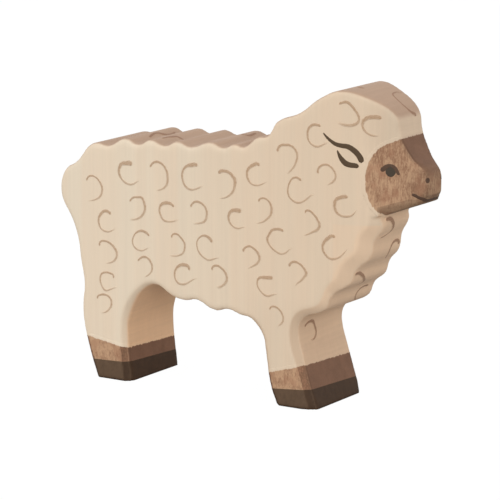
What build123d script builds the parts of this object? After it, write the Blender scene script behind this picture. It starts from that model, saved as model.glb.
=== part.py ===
from build123d import *
import math
import os

# A standing wooden sheep, sawn from one thick board, sanded, then stained and painted by brush.
# Frame: +X towards the head, +Y towards the sheep's left, +Z up.
# The origin is on the ground, under the middle of the animal. Millimetres.

# Whole animal
LENGTH = 105.0
HEIGHT = 81.0
THICKNESS = 23.0

# Head: a slanting saw cut on each side narrows it towards the nose
HEAD_TAPER_LENGTH = 23.0
NOSE_WIDTH = 6.6

# Sanded bevels of the right side: width along the side face, and depth into the thickness
RUMP_BEVEL = (0.8, 0.5)
BACK_BEVEL = (0.9, 0.5)
CHEST_BEVEL = (3.2, 1.6)
LEG_BEVEL = (2.2, 1.2)
BELLY_BEVEL = (0.9, 0.5)
REAR_LEG_BEVEL = (1.5, 1.75)
CHIN_BEVEL = (0.7, 0.5)
JAW_BEVEL = (1.9, 1.7)
# The left side was sanded less
LEFT_BEVEL_SHARE = 0.35

# Coats: a stain soaks into the wood, and paint stands on it as a film
STAIN_DEPTH = 0.3
PAINT_FILM = 0.12

# Hoof paint and the stained band above it: heights at the back and at the front of a foot
REAR_HOOF_BACK = 4.9
REAR_HOOF_FRONT = 5.2
REAR_BAND_BACK = 10.6
REAR_BAND_FRONT = 8.4
FRONT_HOOF_BACK = 4.3
FRONT_HOOF_FRONT = 5.4
FRONT_BAND_BACK = 8.2
FRONT_BAND_FRONT = 11.8

# Wool curls on the sides
CURL_WIDTH = 5.4
CURL_HEIGHT = 6.1
CURL_THICK = 0.95
CURL_THIN = 0.35

# Strokes on the sawn edges: back, chest, leg, rump and forehead
EDGE_STROKE_THICK = 0.9
EDGE_STROKE_THIN = 0.4

# Ear, eye, nostril and mouth
EAR_UPPER_WIDTH = 1.2
EAR_LOWER_WIDTH = 1.0
EAR_TIP_WIDTH = 0.3
PUPIL_DIAMETER = 2.2
EYELID_WIDTH = 0.6
EYELID_SPAN = 4.2
EYELID_RISE = 1.5
EYELID_CLEARANCE = 0.1
NOSTRIL_WIDTH = 0.9
NOSTRIL_HEIGHT = 1.4
MOUTH_WIDTH = 0.6

# One overrun for every cut
OVERRUN = 2.5

# Outline of the animal, seen from its right: shares of the length, and of the height.
# Each stretch lists the crests and troughs of its edge, going clockwise from the heel.
JAW_CORNER_SHARE = (0.392, 0.621)
CHIN_SHARE = (0.489, 0.667)
WOOL_SHARES = [
    (-0.394, 0.000), (-0.418, 0.089), (-0.438, 0.217), (-0.433, 0.305), (-0.443, 0.382),
    (-0.449, 0.440), (-0.466, 0.504), (-0.500, 0.588), (-0.488, 0.664), (-0.450, 0.699),
    (-0.415, 0.751), (-0.391, 0.764), (-0.353, 0.760), (-0.307, 0.787), (-0.266, 0.773),
    (-0.232, 0.791), (-0.188, 0.778), (-0.154, 0.795), (-0.113, 0.783), (-0.059, 0.803),
    (-0.020, 0.791), (0.012, 0.806), (0.038, 0.800), (0.075, 0.834), (0.103, 0.841),
    (0.131, 0.889), (0.192, 0.922), (0.246, 0.972), (0.300, 1.000), (0.366, 0.980),
    (0.423, 0.934), (0.438, 0.862), (0.461, 0.806), (0.491, 0.762), (0.500, 0.721),
    CHIN_SHARE]
CHEST_SHARES = [
    JAW_CORNER_SHARE, (0.394, 0.588), (0.372, 0.541), (0.363, 0.491), (0.331, 0.446),
    (0.318, 0.406), (0.280, 0.368), (0.261, 0.321), (0.200, 0.284), (0.187, 0.240),
    (0.207, 0.142), (0.247, 0.000)]
BELLY_SHARES = [
    (0.131, 0.000), (0.112, 0.064), (0.099, 0.165), (0.091, 0.216), (0.057, 0.263),
    (0.028, 0.269), (-0.008, 0.282), (-0.047, 0.273), (-0.099, 0.298), (-0.135, 0.291),
    (-0.168, 0.299), (-0.221, 0.328), (-0.270, 0.291), (-0.305, 0.202), (-0.306, 0.117),
    (-0.295, 0.000)]

# Which points of each stretch a bevel follows, and where its size changes
BACK_BEVEL_POINTS = 29
RUMP_BEVEL_POINTS = 9
CHEST_BEVEL_POINTS = 7
LEG_BEVEL_FIRST_POINT = 5
REAR_LEG_BEVEL_FIRST_POINT = 11
SIZE_CHANGE_POINTS = 3

# Edge of the face stain: shares of the length and height, from the brow round the cheek
CHEEK_SHARES = [
    (0.428, 0.854), (0.402, 0.844), (0.381, 0.822), (0.363, 0.777), (0.357, 0.730),
    (0.367, 0.675), JAW_CORNER_SHARE]
BROW_SHARE = 0.862

# Curls of one side: place as shares of the length and height, which way each opens
# (1 towards the head, -1 towards the tail), and its size as a share of the usual curl.
CURL_SHARES = [
    (-0.395, 0.618, -1, 1.0), (-0.293, 0.677, 1, 1.1), (-0.202, 0.681, -1, 1.15),
    (-0.109, 0.692, 1, 1.15), (-0.006, 0.678, -1, 1.05), (0.076, 0.723, 1, 1.1),
    (0.163, 0.780, -1, 1.15), (-0.360, 0.516, 1, 0.95), (-0.267, 0.569, -1, 1.0),
    (-0.176, 0.571, 1, 0.95), (-0.087, 0.580, -1, 1.0), (0.018, 0.576, 1, 0.85),
    (0.100, 0.611, -1, 0.9), (0.199, 0.686, 1, 1.15), (0.270, 0.744, -1, 0.95),
    (0.243, 0.861, 1, 1.0), (0.321, 0.933, -1, 1.0), (0.374, 0.898, 1, 0.9),
    (0.314, 0.650, 1, 0.95), (0.231, 0.591, -1, 0.95), (0.141, 0.519, 1, 1.2),
    (0.289, 0.523, 1, 1.0), (-0.356, 0.418, -1, 1.0), (-0.256, 0.467, 1, 0.95),
    (-0.150, 0.468, -1, 0.95), (-0.062, 0.472, 1, 1.15), (0.062, 0.458, -1, 0.95),
    (-0.357, 0.320, 1, 0.9), (-0.246, 0.385, -1, 0.85), (-0.127, 0.377, 1, 1.1),
    (-0.029, 0.385, -1, 0.9), (0.106, 0.373, 1, 1.0), (-0.367, 0.245, -1, 0.9),
    (0.190, 0.427, -1, 1.0), (0.131, 0.284, -1, 0.85)]
# The far side was painted by the same hand, a little differently
LEFT_DRIFT_SHARE = 0.006

# Path of a curl, as shares of its half width and half height, for one that opens forwards
CURL_PATH_SHARES = [
    (0.75, 0.80), (0.10, 1.00), (-0.70, 0.70), (-1.00, 0.00), (-0.70, -0.70), (0.00, -1.00),
    (0.90, -0.62)]

# Strokes seen from above: distance forwards, and to the left
BACK_STROKES = [
    [(-32.9, 3.4), (-30.6, 1.6), (-27.8, 1.2), (-26.2, 2.6), (-26.0, 4.6)],
    [(-25.4, -4.0), (-24.6, -1.2), (-22.2, -0.4), (-19.6, -2.6)],
    [(-6.9, 3.4), (-5.2, 2.7), (-3.0, 3.0), (-1.0, 6.4)],
    [(30.0, -3.4), (31.6, -2.4), (33.4, -2.2), (35.0, -3.2)]]
# Strokes seen from the front or the back: distance to the left, and height
CHEST_STROKES = [
    [(-4.9, 48.0), (-3.9, 49.1), (-1.6, 49.0), (0.3, 47.4), (-0.6, 45.4), (-3.9, 43.4)],
    [(7.2, 41.7), (5.6, 41.9), (3.8, 39.8), (2.1, 37.4)],
    [(-8.2, 35.6), (-6.0, 36.4), (-3.6, 34.4), (-4.8, 32.2), (-9.0, 30.4)],
    [(0.9, 30.9), (-1.6, 30.4), (-2.9, 28.9), (-3.0, 27.0)]]
LEG_STROKES = [[(-8.2, 19.9), (-5.6, 21.4), (-3.2, 20.2), (-2.7, 17.2), (-4.7, 15.4)]]
RUMP_STROKES = [
    [(4.0, 53.6), (2.0, 54.6), (0.2, 52.8), (0.6, 50.2), (3.4, 48.4)],
    [(-4.4, 44.0), (-2.4, 45.0), (-0.8, 43.2), (-1.4, 40.6), (-4.2, 38.8)],
    [(3.4, 35.4), (1.6, 36.4), (0.0, 34.6), (0.6, 32.0), (3.0, 30.4)]]
FOREHEAD_STROKES = [[(4.1, 73.8), (2.4, 74.9), (0.2, 76.8), (-1.8, 78.8)]]

# Ear, eye and mouth: shares of the length and height
EAR_UPPER_SHARES = [
    (0.261, 0.869), (0.281, 0.848), (0.297, 0.838), (0.313, 0.834), (0.328, 0.826),
    (0.340, 0.811), (0.349, 0.789)]
EAR_LOWER_SHARES = [(0.295, 0.818), (0.302, 0.798), (0.312, 0.783), (0.324, 0.775), (0.341, 0.774)]
PUPIL_SHARE = (0.414, 0.762)
NOSTRIL_SHARE = (0.488, 0.737)
MOUTH_SHARES = [(0.463, 0.694), (0.476, 0.688), (0.488, 0.683), (0.510, 0.690)]

TAPER_START = LENGTH / 2 - HEAD_TAPER_LENGTH
TAPER_SLOPE = (THICKNESS - NOSE_WIDTH) / 2 / HEAD_TAPER_LENGTH
TAPER_ANGLE = math.atan(TAPER_SLOPE)
FRONT_LEG_BACK = BELLY_SHARES[0][0] * LENGTH
# Planes inside the body, from which strokes are pressed out to the edges
MID_HEIGHT = HEIGHT / 2
CHEST_MIDDLE = LENGTH / 5
RUMP_MIDDLE = -LENGTH / 4


def place(share):
    """Length and height of a point given in shares."""
    return share[0] * LENGTH, share[1] * HEIGHT


def places(shares):
    return [place(share) for share in shares]


def heading(points, i):
    """Direction of a path as it passes its point i."""
    before, after = points[max(i - 1, 0)], points[min(i + 1, len(points) - 1)]
    return (Vector(*after) - Vector(*before)).normalized()


def flowing(points):
    """Smooth line through points: two tangent arcs from each point to the next."""
    edges = []
    for i in range(len(points) - 1):
        start, end = Vector(*points[i]), Vector(*points[i + 1])
        leaving, arriving = heading(points, i), heading(points, i + 1)
        chord = end - start
        spread = 2 * (1 - leaving.dot(arriving))
        ahead = chord.dot(leaving + arriving)
        reach = chord.dot(chord) / (ahead + math.sqrt(ahead ** 2 + spread * chord.dot(chord)))
        first, second = start + leaving * reach, end - arriving * reach
        middle = (first + second) * 0.5
        edges.append(TangentArc(start, middle, tangent=leaving))
        edges.append(TangentArc(middle, end, tangent=second - first))
    return edges


def outline(growth):
    """Side outline of the animal, moved outwards by growth."""
    wool, chest, belly = places(WOOL_SHARES), places(CHEST_SHARES), places(BELLY_SHARES)
    edges = flowing(wool) + [Line(wool[-1], chest[0])] + flowing(chest)
    edges += [Line(chest[-1], belly[0])] + flowing(belly) + [Line(belly[-1], wool[0])]
    face = make_face(edges)
    return offset(face, amount=growth) if growth else face


def head_wedge(growth):
    """Block as wide as the board, narrowing over the head to the nose."""
    wide = THICKNESS / 2 + growth
    at_taper = wide + (growth / math.cos(TAPER_ANGLE) - growth)
    back, front = -LENGTH / 2 - OVERRUN, LENGTH / 2 + OVERRUN
    narrow = at_taper - (front - TAPER_START) * TAPER_SLOPE
    corner = TAPER_START + (at_taper - wide) / TAPER_SLOPE
    plan = [(back, -wide), (corner, -wide), (front, -narrow), (front, narrow), (corner, wide),
            (back, wide)]
    floor = Plane.XY.offset(-OVERRUN)
    return extrude(floor * make_face(Polyline(*plan, close=True)), amount=HEIGHT + 2 * OVERRUN)


def inward(points, distances):
    """Move each point of a clockwise path into the wood by its own distance."""
    headings = [heading(points, i) for i in range(len(points))]
    return [(x + h.Y * d, y - h.X * d) for (x, y), h, d in zip(points, headings, distances)]


def prolonged(points, at_start, at_end):
    """Run a path on past its ends, so that a cut clears the corners."""
    points = list(points)
    first = (Vector(*points[0]) - Vector(*points[1])).normalized() * OVERRUN
    last = (Vector(*points[-1]) - Vector(*points[-2])).normalized() * OVERRUN
    if at_start:
        points.insert(0, (points[0][0] + first.X, points[0][1] + first.Y))
    if at_end:
        points.append((points[-1][0] + last.X, points[-1][1] + last.Y))
    return points


def path_edge(points):
    return Line(*points) if len(points) == 2 else Spline(*points)


def graded(count, first, last, start):
    """Bevel sizes of so many points, that turn from first to last after the start point."""
    sizes = []
    for i in range(count):
        share = min(max((i - start) / SIZE_CHANGE_POINTS, 0), 1)
        sizes.append(tuple(a + (b - a) * share for a, b in zip(first, last)))
    return sizes


def bevel_cut(side, points, sizes, growth):
    """Wedge that takes the edge off a side face along a path, shifted by growth."""
    deepest = max(depth for _, depth in sizes)
    outer = inward(points, [-2 * OVERRUN] * len(points))
    sections = []
    for level in (deepest / 2, -deepest * 1.5):
        inner = inward(points, [width * (1 + level / depth) - growth for width, depth in sizes])
        edges = [path_edge(inner), Line(inner[-1], outer[-1]), path_edge(outer[::-1]),
                 Line(outer[0], inner[0])]
        sections.append(side.offset(level + growth) * make_face(edges))
    return loft(sections, ruled=True)


def flat_side():
    """Right side face of the board."""
    return Plane(origin=(0, -THICKNESS / 2, 0), x_dir=(1, 0, 0), z_dir=(0, -1, 0))


def head_side():
    """Right side face of the head, slanting to the nose."""
    run, rise = math.cos(TAPER_ANGLE), math.sin(TAPER_ANGLE)
    return Plane(origin=(TAPER_START, -THICKNESS / 2, 0), x_dir=(run, rise, 0),
                 z_dir=(rise, -run, 0))


def on_head(points):
    """Places of points along the slanting side of the head."""
    return [((x - TAPER_START) / math.cos(TAPER_ANGLE), z) for x, z in points]


def bevels(growth, share):
    """Every bevel, on the right side, with a share of the right side's sizes."""
    wool, chest, belly = places(WOOL_SHARES), places(CHEST_SHARES), places(BELLY_SHARES)
    back = prolonged(wool[:BACK_BEVEL_POINTS], True, False)
    throat = on_head(chest[:CHEST_BEVEL_POINTS])
    leg = prolonged(chest[LEG_BEVEL_FIRST_POINT:], False, True)
    under = prolonged(belly, True, True)
    jaw = prolonged(on_head([wool[-1], chest[0]]), True, False)
    plan = [(flat_side(), back, graded(len(back), RUMP_BEVEL, BACK_BEVEL, RUMP_BEVEL_POINTS)),
            (head_side(), throat, [CHEST_BEVEL] * len(throat)),
            (flat_side(), leg, [LEG_BEVEL] * len(leg)),
            (flat_side(), under,
             graded(len(under), BELLY_BEVEL, REAR_LEG_BEVEL, REAR_LEG_BEVEL_FIRST_POINT)),
            (head_side(), jaw, [CHIN_BEVEL, CHIN_BEVEL, JAW_BEVEL])]
    cuts = []
    for side, points, sizes in plan:
        shared = [(width * share, depth * share) for width, depth in sizes]
        cuts.append(bevel_cut(side, points, shared, growth))
    return cuts


def animal(growth=0.0):
    """The whole sanded sheep, with every face moved outwards by growth."""
    board = extrude(Plane.XZ * outline(growth), amount=THICKNESS / 2 + growth, both=True)
    left = [mirror(cut, about=Plane.XZ) for cut in bevels(growth, LEFT_BEVEL_SHARE)]
    return (board & head_wedge(growth)) - bevels(growth, 1.0) - left


def side_prism(face, right=True, left=True):
    """A shape drawn on the side view, run through the right half, the left half or both."""
    reach = THICKNESS / 2 + OVERRUN
    nearest, farthest = (reach if right else 0), (-reach if left else 0)
    return extrude(Plane.XZ.offset(farthest) * face, amount=nearest - farthest)


def brush_stroke(points, thick, thin):
    """Flat stroke along a path that thins from its first point to its last."""
    last = len(points) - 1
    left, right = [], []
    for i, (x, y) in enumerate(points):
        along = heading(points, i)
        half = (thick + (thin - thick) * i / last) / 2
        left.append((x - along.Y * half, y + along.X * half))
        right.append((x + along.Y * half, y - along.X * half))
    return make_face([Spline(*left), Line(left[-1], right[-1]), Spline(*right[::-1]),
                      Line(right[0], left[0])])


def group(shapes):
    """Gather separate strokes into one group of solids."""
    return Compound(children=[solid for shape in shapes for solid in shape.solids()])


def slanting_zone(span, low, high):
    """Zone of one foot between two slanting lines, carried past its back and front."""
    back, front = span[0] - OVERRUN, span[1] + OVERRUN
    corners = []
    for x, (at_back, at_front) in ((back, low), (front, low), (front, high), (back, high)):
        share = (x - span[0]) / (span[1] - span[0])
        corners.append((x, at_back + (at_front - at_back) * share))
    return side_prism(make_face(Polyline(*corners, close=True)))


def foot_coats(wood, core):
    """Hoof paint and the stained band above it, on the rear and the front feet."""
    wool, chest, belly = places(WOOL_SHARES), places(CHEST_SHARES), places(BELLY_SHARES)
    rear = (wool[0][0] - OVERRUN, belly[-1][0])
    front = (belly[0][0] - OVERRUN, chest[-1][0])
    ground = (-OVERRUN, -OVERRUN)
    zones = {
        "rear_hoof_paint": (rear, ground, (REAR_HOOF_BACK, REAR_HOOF_FRONT)),
        "rear_band_stain": (rear, (REAR_HOOF_BACK, REAR_HOOF_FRONT), (REAR_BAND_BACK, REAR_BAND_FRONT)),
        "front_hoof_paint": (front, ground, (FRONT_HOOF_BACK, FRONT_HOOF_FRONT)),
        "front_band_stain": (front, (FRONT_HOOF_BACK, FRONT_HOOF_FRONT),
                             (FRONT_BAND_BACK, FRONT_BAND_FRONT))}
    bare_sole = Pos(0, 0, -2 * STAIN_DEPTH) * core
    return {name: (wood & slanting_zone(*zone)) - core - bare_sole for name, zone in zones.items()}


def face_stain(wood, core):
    """Stained skin of the face: cheeks, bridge of the nose, chin and under the jaw."""
    cheek = places(CHEEK_SHARES)
    ahead = LENGTH / 2 + OVERRUN
    rim = Polyline(cheek[-1], (ahead, cheek[-1][1]), (ahead, BROW_SHARE * HEIGHT), cheek[0])
    return (wood & side_prism(make_face([Spline(*cheek), *rim.edges()]))) - core


def side_film():
    """Paint film lying on the side faces."""
    return head_wedge(PAINT_FILM) - head_wedge(0)


def curl(x, z, opens, size):
    """One wool curl, thick where the brush is set down."""
    half_width, half_height = CURL_WIDTH * size / 2, CURL_HEIGHT * size / 2
    path = [(x + opens * u * half_width, z + v * half_height) for u, v in CURL_PATH_SHARES]
    return brush_stroke(path, CURL_THICK, CURL_THIN)


def side_curls(film, right):
    """All the curls of one side."""
    prisms = []
    for i, (x, z, opens, size) in enumerate(CURL_SHARES):
        if not right:
            x, z = x + LEFT_DRIFT_SHARE * math.sin(5 * i), z + LEFT_DRIFT_SHARE * math.cos(7 * i)
        prisms.append(side_prism(curl(*place((x, z)), opens, size), right, not right))
    return film & Compound(children=prisms)


def eyelid():
    """Arched stroke over the pupil."""
    x, z = place(PUPIL_SHARE)
    top = z + PUPIL_DIAMETER / 2 + EYELID_CLEARANCE + EYELID_WIDTH / 2
    path = [(x + EYELID_SPAN * across / 4, top - EYELID_RISE * (across / 2) ** 2)
            for across in (-2, -1, 0, 1, 2)]
    return brush_stroke(path, EYELID_WIDTH, EYELID_WIDTH)


def face_marks(film, right):
    """Ear strokes, eye and nostril of one side."""
    upper, lower = places(EAR_UPPER_SHARES)[::-1], places(EAR_LOWER_SHARES)[::-1]
    marks = {
        "ear_upper_stroke": brush_stroke(upper, EAR_UPPER_WIDTH, EAR_TIP_WIDTH),
        "ear_lower_stroke": brush_stroke(lower, EAR_LOWER_WIDTH, EAR_TIP_WIDTH),
        "eye_pupil": Pos(*place(PUPIL_SHARE)) * Circle(PUPIL_DIAMETER / 2),
        "eyelid_line": eyelid(),
        "nostril": Pos(*place(NOSTRIL_SHARE)) * Ellipse(NOSTRIL_WIDTH / 2, NOSTRIL_HEIGHT / 2)}
    side = "right" if right else "left"
    return {f"{side}_{name}": film & side_prism(mark, right, not right)
            for name, mark in marks.items()}


def mouth(painted, wood):
    """Mouth line, from one cheek round the chin to the other."""
    stroke = brush_stroke(places(MOUTH_SHARES), MOUTH_WIDTH, MOUTH_WIDTH)
    return (painted & side_prism(stroke)) - wood


def edge_strokes(painted, wood, view, paths):
    """Strokes drawn in a plane, laid on the sawn edges that lie ahead of it."""
    strokes = []
    for path in paths:
        drawn = view * brush_stroke(path, EDGE_STROKE_THICK, EDGE_STROKE_THIN)
        strokes.append((painted & extrude(drawn, amount=LENGTH)) - wood)
    return group(strokes)


def facing_front(x):
    """Plane across the sheep that looks forwards."""
    return Plane(origin=(x, 0, 0), x_dir=(0, 1, 0), z_dir=(1, 0, 0))


def main():
    bare = animal()
    core = animal(-STAIN_DEPTH)
    painted = animal(PAINT_FILM)
    film = side_film()
    nodes = {"face_stain": face_stain(bare, core), **foot_coats(bare, core)}
    nodes["wood_body"] = bare - list(nodes.values())
    for side, right in (("right", True), ("left", False)):
        nodes.update(face_marks(film, right))
        nodes[f"{side}_side_curls"] = side_curls(film, right)
    nodes["mouth_line"] = mouth(painted, bare)
    above = Plane.XY.offset(MID_HEIGHT)
    behind = Plane(origin=(RUMP_MIDDLE, 0, 0), x_dir=(0, -1, 0), z_dir=(-1, 0, 0))
    rump = [[(-y, z) for y, z in path] for path in RUMP_STROKES]
    nodes["back_curls"] = edge_strokes(painted, bare, above, BACK_STROKES)
    nodes["chest_curls"] = edge_strokes(painted, bare, facing_front(CHEST_MIDDLE), CHEST_STROKES)
    nodes["front_leg_curl"] = edge_strokes(painted, bare, facing_front(FRONT_LEG_BACK), LEG_STROKES)
    nodes["forehead_curl"] = edge_strokes(painted, bare, facing_front(TAPER_START), FOREHEAD_STROKES)
    nodes["rump_curls"] = edge_strokes(painted, bare, behind, rump)
    os.makedirs("parts", exist_ok=True)
    for name, shape in nodes.items():
        export_step(shape, f"parts/{name}.step")


main()
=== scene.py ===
"""Wooden sheep figurine, sawn from one maple board, stained and painted by brush.

Laid out as a Blender add-on and run as a script. Lengths are in metres, and in mm where a comment
says so. +X points towards the head, +Y to the sheep's left side and +Z up.
"""

import math
import random

import bmesh
import bpy
import numpy as np
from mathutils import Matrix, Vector
from mathutils.bvhtree import BVHTree


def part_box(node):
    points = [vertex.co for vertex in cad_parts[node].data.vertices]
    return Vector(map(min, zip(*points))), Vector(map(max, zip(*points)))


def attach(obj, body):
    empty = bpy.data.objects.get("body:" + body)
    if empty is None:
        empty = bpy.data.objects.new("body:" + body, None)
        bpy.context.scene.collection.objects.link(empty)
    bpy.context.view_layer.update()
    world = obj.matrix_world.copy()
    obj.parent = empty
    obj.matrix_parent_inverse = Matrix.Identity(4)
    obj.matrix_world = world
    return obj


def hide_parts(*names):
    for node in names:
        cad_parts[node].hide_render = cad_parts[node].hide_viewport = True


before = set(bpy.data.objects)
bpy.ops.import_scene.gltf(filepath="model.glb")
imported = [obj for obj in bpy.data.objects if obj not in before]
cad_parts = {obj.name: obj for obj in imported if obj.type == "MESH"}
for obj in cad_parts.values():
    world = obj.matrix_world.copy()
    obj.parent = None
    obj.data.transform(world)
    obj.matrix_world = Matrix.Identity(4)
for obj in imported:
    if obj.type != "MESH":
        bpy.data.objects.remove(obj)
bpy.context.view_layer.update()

bl_info = {
    "name": "Wooden sheep figurine",
    "version": (1, 0, 0),
    "blender": (4, 5, 0),
    "location": "3D View > Sidebar > Sheep",
    "description": "Builds a hand-painted sheep sawn from one maple board",
    "category": "Add Mesh",
}

MM = 0.001
BODY = "root"
WOOD_NAME = "sanded_wood"
SIDES = ((-1, "right"), (1, "left"))

# Nodes that together fill the whole animal
BLANK_NODES = ("wood_body", "face_stain", "front_band_stain", "rear_band_stain",
               "front_hoof_paint", "rear_hoof_paint")

# Half of the board's thickness, where the head starts to taper, and how fast, in mm
HALF_BOARD = 11.5
TAPER_START = 29.5
TAPER_SLOPE = 0.357

# How far one pass of sandpaper moves a point towards the middle of its neighbours
SANDING_SHARE = 0.5
# Where the blank is sanded further, in mm: each from where it starts to where it is full
FOREHEAD_AHEAD, FOREHEAD_UP = (28, 34), (67, 71)
MUZZLE_AHEAD, MUZZLE_UP, MUZZLE_TOP = (46, 50), (54.5, 56.5), (61, 65)
SOLE_AHEAD, SOLE_TOP = (21, 25), (1, 3)
# How much longer, in mm, the muzzle starts out than it is once its edges are sanded round
SANDED_AWAY = 1.1
# From where ahead, in mm, the tip of the muzzle turns round, and how far it may still reach
NOSE_TURN = 51.3
NOSE_REACH = 1.1
# How much, in mm, sanding takes off the front of the front foot, and where
TOE_SANDED = 0.5
TOE_AHEAD, TOE_TOP = (20, 26), (10, 20)

# Numbers that the wood shares with the coats and strokes on it
WOOD_MARKS = ("rim", "bevel", "ridge", "up")
# How much a surface faces sideways where it stops being a sawn edge, and where a bevel starts and ends
RIM_END = (0.35, 0.75)
BEVEL_START = (0.5, 0.7)
BEVEL_END = (0.91, 0.97)
# Below this height, in mm, every slanting face is a bevel, and above it the head's sides slant too
BEVEL_TOP = 48.0
# Height in mm of the sharpest ridge above the evened surface
RIDGE_HEIGHT = 0.12

# Height of the wood's grain
RELIEF = 0.02 * MM
# Patterns: cells to the metre along, across and up, then detail, roughness and warp of the noise
PATTERNS = {
    "warm bands": ((230, 120, 9), 2.0, 0.5, 0.0),
    "fine grain": ((1500, 900, 35), 3.0, 0.6, 0.0),
    "wide grain": ((330, 200, 7), 2.0, 0.5, 0.0),
    "saw marks": ((1300, 45, 1300), 3.0, 0.6, 0.0),
    "face streaks": ((2600, 2300, 600), 3.0, 0.6, 0.5),
    "band streaks": ((2600, 2300, 1100), 3.0, 0.6, 0.5),
    "stain specks": ((3600, 3600, 2200), 2.0, 0.5, 0.0),
    "blotches": ((430, 300, 300), 2.0, 0.5, 0.3),
    "reddish patches": ((350, 300, 260), 1.0, 0.5, 0.0),
    "frayed edge": ((1800, 1500, 600), 3.0, 0.6, 0.0),
    "paint patches": ((700, 500, 350), 3.0, 0.6, 0.0),
    "paint specks": ((1500, 1200, 1000), 2.0, 0.5, 0.0),
    "bristles": ((2.6, 1400, 1), 3.0, 0.6, 0.0),
    "fringe": ((1.2, 2600, 1), 2.0, 0.5, 0.0),
}

# Where the wood's colour, and the light and shade painted on it, change, in mm: each from where it starts to
# where it is complete
# Paler at the tail, darker and warmer at the head: partly the wood's own tone, partly painted light
TAIL_TO_HEAD = (-45, 38)
# The rear leg's sawn edges are brighter: partly painted light on the front of the rear leg, which lies in
# shade
REAR_TO_FRONT = (-25, 15)
ARCH_TO_CHEST = (0, 12)
# Painted light and shade on the sawn edges ahead: brighter up the chest, a little darker low on the front leg
CHEST_AHEAD, CHEST_UP = (10, 20), (22, 30)
# Painted light on the forehead's sawn edge, and painted shade on the side of the head below it
BROW_AHEAD, BROW_UP = (36, 42), (63, 70)
# Painted shade on the lower front leg: its side a little darker, its bevels darker still
FORE_LEG_AHEAD, FORE_LEG_DOWN = (0, 10), (30, 22)
# The same for the stain of the face
THIN_EDGE_AHEAD = (38.2, 41)
CHEEK_UP = (51, 57)
BRIDGE_UP = (59, 64)
DARK_BROW_UP = (62, 70)
NOSE_AHEAD, NOSE_DOWN = (44, 50), (66, 60)
NOSE_SHADE = 0.13
# Upper edge of the dark bevel along the jaw: its height in mm at x = 0, its slope, and its limit
JAW_HEIGHT = 39.67
JAW_SLOPE = 0.32
JAW_LIMIT = 55.0
# Where that bevel starts and how soft its edge is, in mm, and its brightness
JAW_AHEAD = (40.2, 41.2)
JAW_SOFT = 0.15
JAW_SHADE = 0.7
# How much a surface faces up, from the dark chin below to the cheek
CHIN_FACING = (-0.35, -0.12)
# How much of a bevel counts as one on the bands
BEVEL_TURN = (0.2, 0.8)
# How far a coat's edge frays, in mm
STAIN_FRAY = 0.9
HOOF_FRAY = 0.45
# Where cover starts and where it is full, in mm inside the frayed edge
FRAYED_COVER = (-0.10, 0.12)
# Roughness of each surface, and how strongly it mirrors light. The hoof paint shines like the stain.
WOOD_ROUGH, WOOD_SHINE = 0.62, 0.3
STAIN_ROUGH, STAIN_SHINE = 0.6, 0.15
HOOF_ROUGH = 0.55
STROKE_ROUGH = 0.6
# The least half width of a brush stroke, at its ends, in mm
LEAST_WIDTH = 0.02
# How far off a point is pressed from, in mm
WELL_OFF = 200

# Width of the camera's sensor, in mm
SENSOR_WIDTH = 36.0
# Where the lamps shine to, and how wide they look
KEY_TOWARD = (0.35, 0.90, -0.30)
FILL_TOWARD = (-0.75, 0.65, -0.25)
LAMP_WIDTH = math.radians(25)
# Half of the floor's side, how far it lies below the soles, and how white it is to the camera
FLOOR_REACH = 6.0
FLOOR_DROP = 0.02 * MM
FLOOR_GREY = 0.45
FLOOR_GLOW = 1.05
GLOW_SHARE = 0.94


def paint(red, green, blue):
    """Colour picked as 0 to 255 on a screen, as Blender stores it."""
    shares = (red / 255, green / 255, blue / 255)
    return tuple(s / 12.92 if s <= 0.04045 else ((s + 0.055) / 1.055) ** 2.4 for s in shares)


# Nodes of materials and of geometry


class Bench:
    """A node tree, with short ways to add nodes and join them."""

    def __init__(self, tree):
        self.tree = tree
        tree.nodes.clear()

    def add(self, kind, inputs=None, **settings):
        """Adds a node, with its settings and its inputs."""
        node = self.tree.nodes.new(kind)
        for name, value in settings.items():
            setattr(node, name, value)
        for key, value in (inputs or {}).items():
            self.feed(node.inputs[key], value)
        return node

    def out(self, kind, inputs=None, **settings):
        """Adds a node and gives its first output."""
        return self.add(kind, inputs, **settings).outputs[0]

    def feed(self, socket, value):
        """Joins a socket to an input, or sets the input to a value."""
        if isinstance(value, bpy.types.NodeSocket):
            self.tree.links.new(value, socket)
        else:
            socket.default_value = value

    def sum(self, kind, first, second=0.0, third=None):
        """One step of arithmetic."""
        inputs = {0: first, 1: second}
        if third is not None:
            inputs[2] = third
        return self.out("ShaderNodeMath", inputs, operation=kind)

    def times(self, value, *others):
        """The product of values."""
        for other in others:
            value = self.sum("MULTIPLY", value, other)
        return value

    def plus(self, value, *others):
        """The total of values."""
        for other in others:
            value = self.sum("ADD", value, other)
        return value

    def less(self, value, other):
        """One value less another."""
        return self.sum("SUBTRACT", value, other)

    def graded(self, value, factor, start):
        """A value times a factor, added to a start."""
        return self.sum("MULTIPLY_ADD", value, factor, start)

    def slope(self, value, start, end, low=0.0, high=1.0):
        """Turns a value softly from low to high, between start and end."""
        inputs = {"Value": value, "From Min": start, "From Max": end, "To Min": low, "To Max": high}
        return self.out("ShaderNodeMapRange", inputs, interpolation_type="SMOOTHSTEP")


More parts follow.
